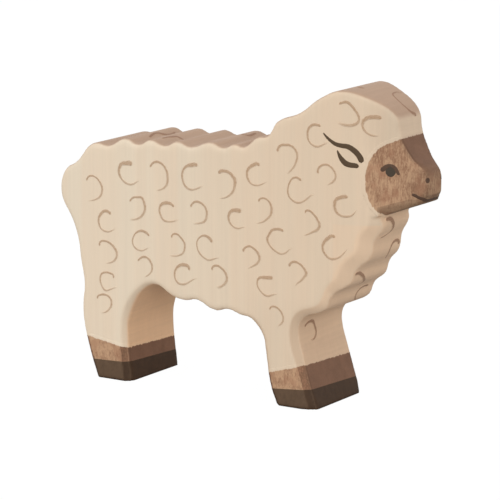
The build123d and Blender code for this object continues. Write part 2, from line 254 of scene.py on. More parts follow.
class Finish(Bench):
    """The nodes of one material."""

    def __init__(self, name):
        self.material = bpy.data.materials.new(name)
        self.material.use_nodes = True
        super().__init__(self.material.node_tree)
        self.place = self.add("ShaderNodeTexCoord").outputs["Object"]
        self.x, _, self.z = self.add("ShaderNodeSeparateXYZ", {"Vector": self.place}).outputs
        self.made = {}

    def read(self, name):
        """Value of the piece's own attribute."""
        if name not in self.made:
            self.made[name] = self.add("ShaderNodeAttribute", attribute_name=name).outputs["Fac"]
        return self.made[name]

    def noise(self, pattern, vector=None):
        """Soft noise about 0.5 in one of the patterns."""
        if pattern not in self.made:
            cells, detail, rough, warp = PATTERNS[pattern]
            scaled = self.out("ShaderNodeMapping", {"Vector": vector or self.place, "Scale": cells})
            inputs = {"Vector": scaled, "Scale": 1.0, "Detail": detail, "Roughness": rough,
                      "Distortion": warp}
            self.made[pattern] = self.add("ShaderNodeTexNoise", inputs).outputs["Fac"]
        return self.made[pattern]

    def ahead(self, zone, low=0.0, high=1.0):
        """A soft change along the sheep, over a zone in mm."""
        return self.slope(self.x, zone[0] * MM, zone[1] * MM, low, high)

    def rise(self, zone, low=0.0, high=1.0):
        """A soft change with height, over a zone in mm."""
        return self.slope(self.z, zone[0] * MM, zone[1] * MM, low, high)

    def mixed(self, share, first, second):
        """A mixture of two colours, each a socket or a stored colour."""
        inputs = {0: share}
        for key, colour in ((6, first), (7, second)):
            inputs[key] = colour if isinstance(colour, bpy.types.NodeSocket) else (*colour, 1.0)
        return self.add("ShaderNodeMix", inputs, data_type="RGBA").outputs[2]

    def shaded(self, colour, brightness):
        """A colour made brighter or darker."""
        inputs = {0: colour, "Scale": brightness}
        return self.out("ShaderNodeVectorMath", inputs, operation="SCALE")

    def lifted(self, *parts):
        """One plus the sum of each noise about its middle times its strength."""
        total = 1.0
        for value, strength in parts:
            total = self.plus(self.times(self.less(value, 0.5), strength), total)
        return total

    def done(self, colour, rough, shine=WOOD_SHINE):
        """Puts colour, roughness, shine and the relief of the grain on the surface."""
        saw_marks = self.times(self.noise("saw marks"), self.read("rim"))
        height = self.plus(self.noise("fine grain"), saw_marks)
        bump = self.out("ShaderNodeBump", {"Height": height, "Distance": RELIEF, "Strength": 1.0})
        inputs = {"Base Color": colour, "Roughness": rough, "Normal": bump,
                  "Specular IOR Level": shine}
        surface = self.out("ShaderNodeBsdfPrincipled", inputs)
        self.add("ShaderNodeOutputMaterial", {"Surface": surface})
        return self.material


# Sizes and colours that a user would change


def tint(name, description, *screen):
    """A colour that a user may change, picked as 0 to 255 on a screen."""
    return bpy.props.FloatVectorProperty(
        name=name, description=description, subtype="COLOR", size=3, default=paint(*screen))


def length(name, description, default, least=None):
    """A length that a user may change, given in mm."""
    limit = {} if least is None else {"min": least * MM}
    return bpy.props.FloatProperty(
        name=name, description=description, default=default * MM, unit="LENGTH", precision=6, **limit)


def passes(name, description, default):
    """How often something is sanded."""
    return bpy.props.IntProperty(name=name, description=description, default=default, min=0)


class SheepWood(bpy.types.PropertyGroup):
    """Sizes and colours of the bare wood."""

    cell: length("Cell", "Distance between the points of the sanded surface", 0.47, 0.3)
    sanding: passes("Sanding", "Passes of sandpaper over every edge", 2)
    head_sanding: passes("Head sanding", "Further passes over the edges of the forehead", 10)
    foot_sanding: passes("Foot sanding", "Further passes over the toe of the front foot", 16)
    muzzle_sanding: passes("Muzzle sanding", "Further passes over the edges of the muzzle", 60)
    # The sides are paler at the tail and darker at the head: partly the wood's own tone, partly painted light
    tail_colour: tint("Wood at the tail", "Pale colour of the sides near the tail", 226, 210, 187)
    head_colour: tint("Wood at the head", "Warmer colour of the sides near the head", 218, 196, 170)
    warm_colour: tint("Warm bands", "Rosy bands that run up the sides", 224, 196, 168)
    # Brighter than the front's sawn edges: partly painted light on the shaded front of the rear leg
    rear_edge_colour: tint(
        "Sawn edge at the rear", "Colour of the upright sawn edges of the rear leg", 236, 196, 157)
    front_edge_colour: tint(
        "Sawn edge at the front", "Colour of the upright sawn edges of chest and front leg", 223, 190, 158)
    # The forehead is paler as painted light, where it faces up and ahead
    lit_brow_colour: tint("Forehead", "Pale colour of the sawn edge above the brow", 220, 195, 168)
    top_colour: tint("Sawn edge on top", "Colour of the sawn edges of back and crown", 186, 155, 131)


class SheepStain(bpy.types.PropertyGroup):
    """Sizes and colours of the brown stain."""

    light_colour: tint("Light stain", "Stain where the wood took little of it", 190, 153, 121)
    dark_colour: tint("Dark stain", "Stain where the wood took much of it", 146, 109, 84)
    edge_colour: tint("Stain on sawn edges", "Stain on the edges, which take more of it", 128, 95, 75)
    red_colour: tint("Reddish stain", "Stain where it dried to a redder brown", 162, 119, 92)
    film: length("Film", "Height of a coat above the wood", 0.014, 0.01)
    margin: length("Margin", "How far a coat's piece reaches past its painted edge", 1.3, 0.5)


class SheepPaint(bpy.types.PropertyGroup):
    """Sizes and colours of the painted parts."""

    hoof_colour: tint("Hoof", "Dark grey-brown of the hooves", 94, 74, 57)
    # Darker on the front, back and bevels of a foot: partly more paint, partly painted shade
    shaded_hoof_edge_colour: tint(
        "Hoof on sawn edges", "Hoof paint on the bevels, and on the front and back of a foot", 72, 53, 38)
    ear_colour: tint("Ears", "Dark brown of the ear strokes", 82, 64, 44)
    line_colour: tint("Dark lines", "Dark reddish brown of eyelids, nostrils and mouth", 76, 54, 40)
    pupil_colour: tint("Pupil", "Dark grey-brown of the pupils", 68, 57, 45)
    curl_colour: tint("Curls", "Light brown of the wool curls", 165, 128, 95)
    edge_curl_colour: tint(
        "Curls on sawn edges", "Brown of the strokes on chest, leg, back, forehead and rump", 142, 102, 76)
    film: length("Film", "Height of a brush stroke above the wood", 0.075, 0.01)
    seed: bpy.props.IntProperty(
        name="Seed", description="Choice of the small random differences between strokes", default=7)


class SheepStage(bpy.types.PropertyGroup):
    """Camera, light and floor."""

    azimuth: bpy.props.FloatProperty(
        name="Azimuth", description="How far the camera has gone round from the sheep's right side",
        default=math.radians(32.7), subtype="ANGLE")
    elevation: bpy.props.FloatProperty(
        name="Elevation", description="Height of the camera above the horizon",
        default=math.radians(11.45), subtype="ANGLE")
    distance: length("Distance", "From the camera to the middle of the picture", 769.8565)
    aim_right: length("Aim right", "How far right of the origin the camera aims", -1.089)
    aim_up: length("Aim up", "How far above the origin the camera aims", 35.626)
    lens: bpy.props.FloatProperty(
        name="Lens", description="Focal length of the camera, in millimetres", default=216.0)
    room_light: bpy.props.FloatProperty(
        name="Room light", description="Strength of the light from all round", default=0.77)
    key_light: bpy.props.FloatProperty(
        name="Key light", description="Strength of the soft light on the sheep's right side", default=0.9)
    fill_light: bpy.props.FloatProperty(
        name="Fill light", description="Strength of the soft light from ahead of the sheep", default=0.7)


# The wood


def voxel_skin(name, nodes, cell):
    """One closed skin of even small faces round CAD nodes, as a plain mesh."""
    form = bmesh.new()
    for node in nodes:
        form.from_mesh(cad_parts[node].data)
    bmesh.ops.remove_doubles(form, verts=form.verts, dist=0.001 * MM)
    mesh = bpy.data.meshes.new(name)
    form.to_mesh(mesh)
    form.free()
    block = bpy.data.objects.new(name, mesh)
    bpy.context.scene.collection.objects.link(block)
    remesh = block.modifiers.new("skin", "REMESH")
    remesh.mode = "VOXEL"
    remesh.voxel_size = cell
    return applied(block)


def applied(piece):
    """A plain mesh of what a piece's modifiers make. The piece is removed."""
    bpy.context.view_layer.update()
    graph = bpy.context.evaluated_depsgraph_get()
    seen = piece.evaluated_get(graph)
    mesh = bpy.data.meshes.new_from_object(seen, preserve_all_data_layers=True, depsgraph=graph)
    bpy.data.objects.remove(piece)
    return mesh


def rows_of(items, name, width, kind):
    """Numbers of a mesh's points or edges, as rows."""
    flat = np.empty(len(items) * width, kind)
    items.foreach_get(name, flat)
    return flat.reshape(-1, width)


def points_of(mesh):
    """Places of a mesh's points."""
    return rows_of(mesh.vertices, "co", 3, float)


def normals_of(mesh):
    """Directions of a mesh's surface at its points."""
    return rows_of(mesh.vertex_normals, "vector", 3, np.float32).astype(float)


def edges_of(mesh):
    """Pairs of joined points."""
    return rows_of(mesh.edges, "vertices", 2, np.int32)


def neighbour_mean(values, edges):
    """For each point, the mean of the rows of its neighbours."""
    total = np.zeros_like(values)
    for column in range(values.shape[1]):
        ahead = np.bincount(edges[:, 0], values[edges[:, 1], column], len(values))
        behind = np.bincount(edges[:, 1], values[edges[:, 0], column], len(values))
        total[:, column] = ahead + behind
    count = np.bincount(edges.ravel(), minlength=len(values))
    return total / np.maximum(count, 1)[:, None]


def sanded(points, edges, times, share):
    """Eases every point towards its neighbours, as sandpaper does."""
    for _ in range(times):
        points = points + (neighbour_mean(points, edges) - points) * share
    return points


def mark(mesh, name, values):
    """Stores one number for each point of a mesh."""
    layer = mesh.attributes.get(name) or mesh.attributes.new(name, "FLOAT", "POINT")
    layer.data.foreach_set("value", np.asarray(values, np.float32))


def between(values, start, end):
    """0 below start, 1 above end, and a soft turn from one to the other."""
    share = np.clip((values - start) / (end - start), 0, 1)
    return share * share * (3 - 2 * share)


def zone(values, ends):
    """The same for lengths, over a zone in mm."""
    return between(values, ends[0] * MM, ends[1] * MM)


def add_piece(name, mesh, material, slot, *nodes):
    """Puts a finished mesh into the scene as a piece of the sheep."""
    piece = bpy.data.objects.new(name, mesh)
    bpy.context.scene.collection.objects.link(piece)
    mesh.materials.clear()
    mesh.materials.append(material)
    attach(piece, BODY)
    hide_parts(*nodes)


def mark_wood(mesh):
    """Marks where the wood is a sawn edge or a bevel, and where a ridge or a hollow runs."""
    points, normals, edges = points_of(mesh), normals_of(mesh), edges_of(mesh)
    soft = sanded(normals, edges, 2, 0.5)
    sideways = np.abs(soft[:, 1])
    mark(mesh, "rim", 1 - between(sideways, *RIM_END))
    on_body = points[:, 2] < BEVEL_TOP * MM
    mark(mesh, "bevel", between(sideways, *BEVEL_START) * (1 - between(sideways, *BEVEL_END)) * on_body)
    mark(mesh, "up", soft[:, 2])
    even = sanded(points, edges, 6, 0.5)
    bulge = np.sum((points - even) * normals, axis=1)
    mark(mesh, "ridge", np.clip(bulge / (RIDGE_HEIGHT * MM), -1, 1))


# Looks of wood, stain and paint


def maple(look, wood):
    """Colour of bare maple: upright grain on the sides and marks of the saw across the edges, with light and
    shade painted on the head, chest and legs.
    """
    rim, bevel = look.read("rim"), look.read("bevel")
    # Paler at the tail, darker at the head: partly the wood's tone, partly painted light
    side = look.mixed(look.ahead(TAIL_TO_HEAD), wood.tail_colour, wood.head_colour)
    warm = look.slope(look.noise("warm bands"), 0.35, 0.7, 0.0, 0.3)
    side = look.mixed(warm, side, wood.warm_colour)
    # Brighter rear sawn edges: partly painted light on the shaded front of the rear leg
    edge = look.mixed(look.ahead(REAR_TO_FRONT), wood.rear_edge_colour, wood.front_edge_colour)
    # Painted light and shade: the chest's sawn edge brighter higher up, the front leg's a little darker
    chest = look.times(look.ahead(CHEST_AHEAD), look.rise(CHEST_UP, -0.03, 0.06))
    edge = look.shaded(edge, look.plus(1.0, chest))
    # Painted shade on the side of the head near the forehead, which evens it with the forehead
    brow = look.times(look.rise(BROW_UP), look.ahead(BROW_AHEAD))
    side = look.shaded(side, look.less(1.0, look.times(brow, 0.1)))
    sawn_share = look.times(bevel, look.ahead(ARCH_TO_CHEST, 0.1, 0.6))
    side = look.mixed(sawn_share, side, edge)
    # Painted shade on the lower front leg: its side a little darker, its bevels darker still
    fore_leg_shade = look.times(look.ahead(FORE_LEG_AHEAD), look.rise(FORE_LEG_DOWN))
    side = look.shaded(side, look.less(1.0, look.times(fore_leg_shade, look.graded(bevel, 0.15, 0.03))))
    # Painted light: the forehead's sawn edge is paler
    edge = look.mixed(brow, edge, wood.lit_brow_colour)
    edge = look.mixed(look.slope(look.read("up"), 0.2, 0.6), edge, wood.top_colour)
    saw_marks = (look.noise("saw marks"), look.times(rim, 0.16))
    grain = look.lifted((look.noise("fine grain"), 0.10), (look.noise("wide grain"), 0.06), saw_marks)
    return look.shaded(look.mixed(rim, side, edge), grain)


def brown_stain(look, stain, mottled=False):
    """Colour of stain brushed over maple: streaks and specks, darker on the sawn edges.

    The bands are mottled, with painted shade on their bevels, and the rest is the face.
    """
    bevel = look.read("bevel")
    specks, blotches = look.noise("stain specks"), look.noise("blotches")
    streaks = look.noise("band streaks" if mottled else "face streaks")
    taken = look.graded(specks, 0.22, look.times(streaks, 0.42))
    taken = look.graded(blotches, 0.36, taken)
    on_edge = look.slope(look.read("rim"), 0.1, 0.9)
    if mottled:
        taken = look.plus(taken, look.slope(bevel, *BEVEL_TURN, -0.05, 0.11))
    else:
        thinner = look.plus(look.rise(CHEEK_UP, -0.11, 0.0), look.ahead(THIN_EDGE_AHEAD, -0.05, 0.0))
        taken = look.plus(taken, look.plus(look.rise(DARK_BROW_UP, 0.0, 0.05), thinner))
        on_edge = look.times(on_edge, look.rise(BRIDGE_UP))
    side = look.mixed(look.slope(taken, 0.38, 0.62), stain.light_colour, stain.dark_colour)
    reddish = look.slope(look.noise("reddish patches"), 0.5, 0.65, 0.0, 0.5)
    side = look.mixed(reddish, side, stain.red_colour)
    edge = look.shaded(stain.edge_colour, look.lifted((specks, 0.3), (blotches, 0.4)))
    colour = look.mixed(on_edge, side, edge)
    ridge = look.slope(look.read("ridge"), 0.2, 0.7, 1.0, 0.8)
    if mottled:
        # Painted shade on the bands' bevels, broken up by specks of the stain
        specked_bevel_shade = look.graded(look.less(specks, 0.5), -1.0, 0.2)
        specked_bevel_shade = look.times(look.slope(bevel, *BEVEL_TURN), specked_bevel_shade)
        return look.shaded(colour, look.times(ridge, look.less(1.0, specked_bevel_shade)))
    return look.shaded(colour, look.times(ridge, nose_shade(look), jaw_shade(look)))


def nose_shade(look):
    """Brightness of the face, which is darker under the bridge of the nose."""
    return look.graded(look.times(look.ahead(NOSE_AHEAD), look.rise(NOSE_DOWN)), -NOSE_SHADE, 1.0)


def jaw_shade(look):
    """Brightness of the face, which is darker on the bevel of the jaw and under the chin."""
    line = look.sum("MINIMUM", look.graded(look.x, JAW_SLOPE, JAW_HEIGHT * MM), JAW_LIMIT * MM)
    above = look.less(look.z, line)
    jaw = look.slope(above, -JAW_SOFT * MM, JAW_SOFT * MM, JAW_SHADE, 1.0)
    jaw = look.sum("MAXIMUM", jaw, look.ahead(JAW_AHEAD, 1.0, 0.0))
    return look.sum("MINIMUM", jaw, look.slope(look.read("up"), *CHIN_FACING, JAW_SHADE, 1.0))


def ragged(look, distance, width):
    """Cover of a coat by the distance to its edge in mm, frayed as a brush leaves it."""
    fray = look.times(look.less(look.noise("frayed edge"), 0.5), width)
    return look.slope(look.plus(distance, fray), *FRAYED_COVER)


def wood_material(scene):
    """Bare maple, sanded and lightly oiled."""
    look = Finish("bare maple")
    return look.done(maple(look, scene.sheep_wood), WOOD_ROUGH)


def stain_material(scene, name, mottled=False):
    """Brown stain, and bare maple past its ragged edge."""
    look = Finish(name)
    stained = brown_stain(look, scene.sheep_stain, mottled)
    cover = ragged(look, look.read("inside"), STAIN_FRAY)
    colour = look.mixed(cover, maple(look, scene.sheep_wood), stained)
    return look.done(colour, STAIN_ROUGH, look.graded(cover, STAIN_SHINE - WOOD_SHINE, WOOD_SHINE))


def hoof_material(scene):
    """Hoof paint, and past its ragged edge the stain of the band, thin where the two meet."""
    look = Finish("hoof paint")
    stain, colours = scene.sheep_stain, scene.sheep_paint
    inside, rim = look.read("inside"), look.read("rim")
    gap = look.slope(look.sum("ABSOLUTE", look.plus(inside, 0.25)), 0.05, 0.35, 0.55, 0.0)
    off_edge = look.slope(rim, 0.2, 0.6, 1.0, 0.0)
    stained = look.mixed(look.times(gap, off_edge), brown_stain(look, stain, True), stain.light_colour)
    # Darker hoof paint on sawn edges and bevels: partly more paint, partly painted shade
    off_side = look.sum("MAXIMUM", rim, look.read("bevel"))
    painted = look.mixed(off_side, colours.hoof_colour, colours.shaded_hoof_edge_colour)
    uneven = look.lifted((look.noise("paint patches"), 0.5), (look.noise("paint specks"), 0.3))
    painted = look.shaded(painted, uneven)
    colour = look.mixed(ragged(look, inside, HOOF_FRAY), stained, painted)
    return look.done(colour, HOOF_ROUGH, STAIN_SHINE)


def stroke_material(scene, name, colour, strength=1.0, fade=0.0, crisp=False, stained=False):
    """A brush stroke: full at its start, and thinner and drier towards its tail."""
    look = Finish(name)
    along, across, reach = look.read("along"), look.read("across"), look.read("reach")
    track = look.out("ShaderNodeCombineXYZ", {"X": across, "Y": reach, "Z": 0.0})
    fray, soft_from = (0.15, 0.86) if crisp else (0.9, 0.5)
    frayed = look.times(look.less(look.noise("fringe", track), 0.5), fray)
    edge = look.plus(look.sum("ABSOLUTE", across), frayed)
    cover = look.slope(edge, soft_from, 0.99, 1.0, 0.0)
    if not crisp:
        ends = look.times(look.slope(along, 0.0, 0.02), look.slope(along, 0.9, 1.0, 1.0, 0.0))
        cover = look.times(cover, ends)
    dry = look.slope(look.noise("bristles", track), 0.40, 0.60, 1.0 - fade, 1.0)
    thinner = look.slope(along, 0.2, 1.0, 1.0, 1.0 - fade * 0.7)
    cover = look.times(cover, look.times(dry, thinner), strength)
    under = brown_stain(look, scene.sheep_stain) if stained else maple(look, scene.sheep_wood)
    return look.done(look.mixed(cover, under, colour), STROKE_ROUGH)


# Brush strokes


def stroke_tree():
    """Geometry nodes that lay a thin film of paint on the wood along each line of a curve."""
    tree = bpy.data.node_groups.new("brush strokes", "GeometryNodeTree")
    kinds = {"Lines": "Geometry", "Wood": "Object", "Steps": "Int", "Sides": "Int", "Film": "Float",
             "Depth": "Float", "Paint": "Material"}
    for name, kind in kinds.items():
        tree.interface.new_socket(name=name, in_out="INPUT", socket_type="NodeSocket" + kind)
    tree.interface.new_socket(name="Strokes", in_out="OUTPUT", socket_type="NodeSocketGeometry")
    bench = Bench(tree)
    given = bench.add("NodeGroupInput").outputs
    wood = bench.add("GeometryNodeObjectInfo", {"Object": given["Wood"]}).outputs["Geometry"]
    place = bench.out("GeometryNodeInputPosition")
    facing = bench.out("GeometryNodeInputNormal")

    def on_wood(value):
        inputs = {"Mesh": wood, "Value": value, "Sample Position": place}
        return bench.out("GeometryNodeSampleNearestSurface", inputs, data_type="FLOAT_VECTOR")

    def stored(geometry, name, value):
        inputs = {"Geometry": geometry, "Name": name, "Value": value}
        return bench.out("GeometryNodeStoreNamedAttribute", inputs, data_type="FLOAT", domain="POINT")

    def raised(kind, height):
        name = bench.out("GeometryNodeInputNamedAttribute", {"Name": "raised"}, data_type="FLOAT")
        return bench.times(bench.sum(kind, name, 0.0), height)

    lines = bench.out("GeometryNodeResampleCurve", {"Curve": given["Lines"], "Count": given["Steps"]})
    gone = bench.add("GeometryNodeSplineParameter").outputs
    whole = bench.add("GeometryNodeSplineLength").outputs["Length"]
    lines = stored(lines, "along", gone["Factor"])
    lines = stored(lines, "reach", gone["Length"])
    half = bench.out("GeometryNodeInputRadius")
    from_end = bench.sum("MINIMUM", gone["Length"], bench.less(whole, gone["Length"]))
    short = bench.less(1.0, bench.sum("MINIMUM", bench.sum("DIVIDE", from_end, half), 1.0))
    rounded = bench.sum("SQRT", bench.less(1.0, bench.times(short, short)))
    width = bench.sum("MAXIMUM", bench.times(rounded, half), LEAST_WIDTH * MM)
    lines = bench.out("GeometryNodeSetCurveRadius", {"Curve": lines, "Radius": width})
    lines = bench.out("GeometryNodeSetCurveNormal", {"Curve": lines, "Normal": on_wood(facing)}, mode="FREE")

    ring = bench.out("GeometryNodeCurvePrimitiveCircle", {"Resolution": given["Sides"], "Radius": 1.0})
    spot = bench.add("ShaderNodeSeparateXYZ", {"Vector": place}).outputs
    ring = stored(ring, "across", spot["X"])
    ring = stored(ring, "raised", spot["Y"])
    flat = bench.out("ShaderNodeCombineXYZ", {"X": 0.0, "Y": spot["X"], "Z": 0.0})
    ring = bench.out("GeometryNodeSetPosition", {"Geometry": ring, "Position": flat})

    scale = bench.out("GeometryNodeInputRadius")
    inputs = {"Curve": lines, "Profile Curve": ring, "Scale": scale, "Fill Caps": True}
    film = bench.out("GeometryNodeCurveToMesh", inputs)
    height = bench.plus(raised("MAXIMUM", given["Film"]), raised("MINIMUM", given["Depth"]))
    lift = bench.out("ShaderNodeVectorMath", {0: on_wood(facing), "Scale": height}, operation="SCALE")
    inputs = {"Geometry": film, "Position": on_wood(place), "Offset": lift}
    film = bench.out("GeometryNodeSetPosition", inputs)
    film = bench.out("GeometryNodeSetShadeSmooth", {"Geometry": film})
    film = bench.out("GeometryNodeSetMaterial", {"Geometry": film, "Material": given["Paint"]})
    film = bench.out("GeometryNodeRealizeInstances", {"Geometry": film})
    bench.add("NodeGroupOutput", {0: film})
    return tree


def set_input(modifier, name, value):
    """Sets a named input of a Geometry Nodes modifier."""
    for item in modifier.node_group.interface.items_tree:
        if item.item_type == "SOCKET" and item.in_out == "INPUT" and item.name == name:
            modifier[item.identifier] = value
            return
    raise ValueError(f"the tree has no input named {name}")


def line_curve(name, strokes):
    """A curve with one smooth line for each stroke, whose radius is the brush's half width."""
    data = bpy.data.curves.new(name, "CURVE")
    data.dimensions = "3D"
    for points, halves in strokes:
        line = data.splines.new("BEZIER")
        line.bezier_points.add(len(points) - 1)
        for knot, point, half in zip(line.bezier_points, points, halves):
            knot.co = point
            knot.radius = half
            knot.handle_left_type = knot.handle_right_type = "AUTO"
    curve = bpy.data.objects.new(name, data)
    bpy.context.scene.collection.objects.link(curve)
    return curve


def brushed(name, strokes, material, slot, node, steps=40, sides=12):
    """Paints strokes on the wood as one piece, in so many steps along and sides round the brush."""
    film = bpy.context.scene.sheep_paint.film
    curve = line_curve(name + "_lines", strokes)
    modifier = curve.modifiers.new("brush", "NODES")
    modifier.node_group = bpy.data.node_groups.get("brush strokes") or stroke_tree()
    given = {"Wood": bpy.data.objects[WOOD_NAME], "Steps": steps, "Sides": sides,
             "Film": film, "Depth": film, "Paint": material}
    for key, value in given.items():
        set_input(modifier, key, value)
    mesh = applied(curve)
    if not mesh.polygons:
        raise RuntimeError(f"the strokes of {name} came out empty")
    share_wood_marks(mesh)
    mesh.name = name
    add_piece(name, mesh, material, slot, node)


def share_wood_marks(mesh):
    """Copies the wood's marks to the nearest points of a coat or stroke."""
    wood = bpy.data.objects[WOOD_NAME].data
    tree = wood_tree()
    nearest = []
    for vertex in mesh.vertices:
        hit = tree.find_nearest(vertex.co)
        nearest.append(wood.polygons[hit[2]].vertices[0])
    for name in WOOD_MARKS:
        mark(mesh, name, marks_of(wood, name)[nearest])


def marks_of(mesh, name):
    """The numbers stored under a name for the points of a mesh."""
    values = np.empty(len(mesh.vertices), np.float32)
    mesh.attributes[name].data.foreach_get("value", values)
    return values


def wood_tree():
    """The wood, ready to be hit by rays."""
    wood = bpy.data.objects[WOOD_NAME].data
    return BVHTree.FromPolygons([v.co for v in wood.vertices], [p.vertices for p in wood.polygons])


def pressed(tree, point, direction):
    """Where a point in mm lands on the wood when it is pushed in a direction."""
    aim = Vector(direction)
    start = Vector(point) * MM - aim * WELL_OFF * MM
    hit = tree.ray_cast(start, aim)
    if hit[0] is None:
        hit = tree.find_nearest(Vector(point) * MM)
    return hit[0]


def side_point(x, z, side):
    """A point of the right side, -1, or the left side, 1, whose place is given in mm."""
    half = HALF_BOARD - TAPER_SLOPE * max(x - TAPER_START, 0)
    return Vector((x, side * half, z)) * MM


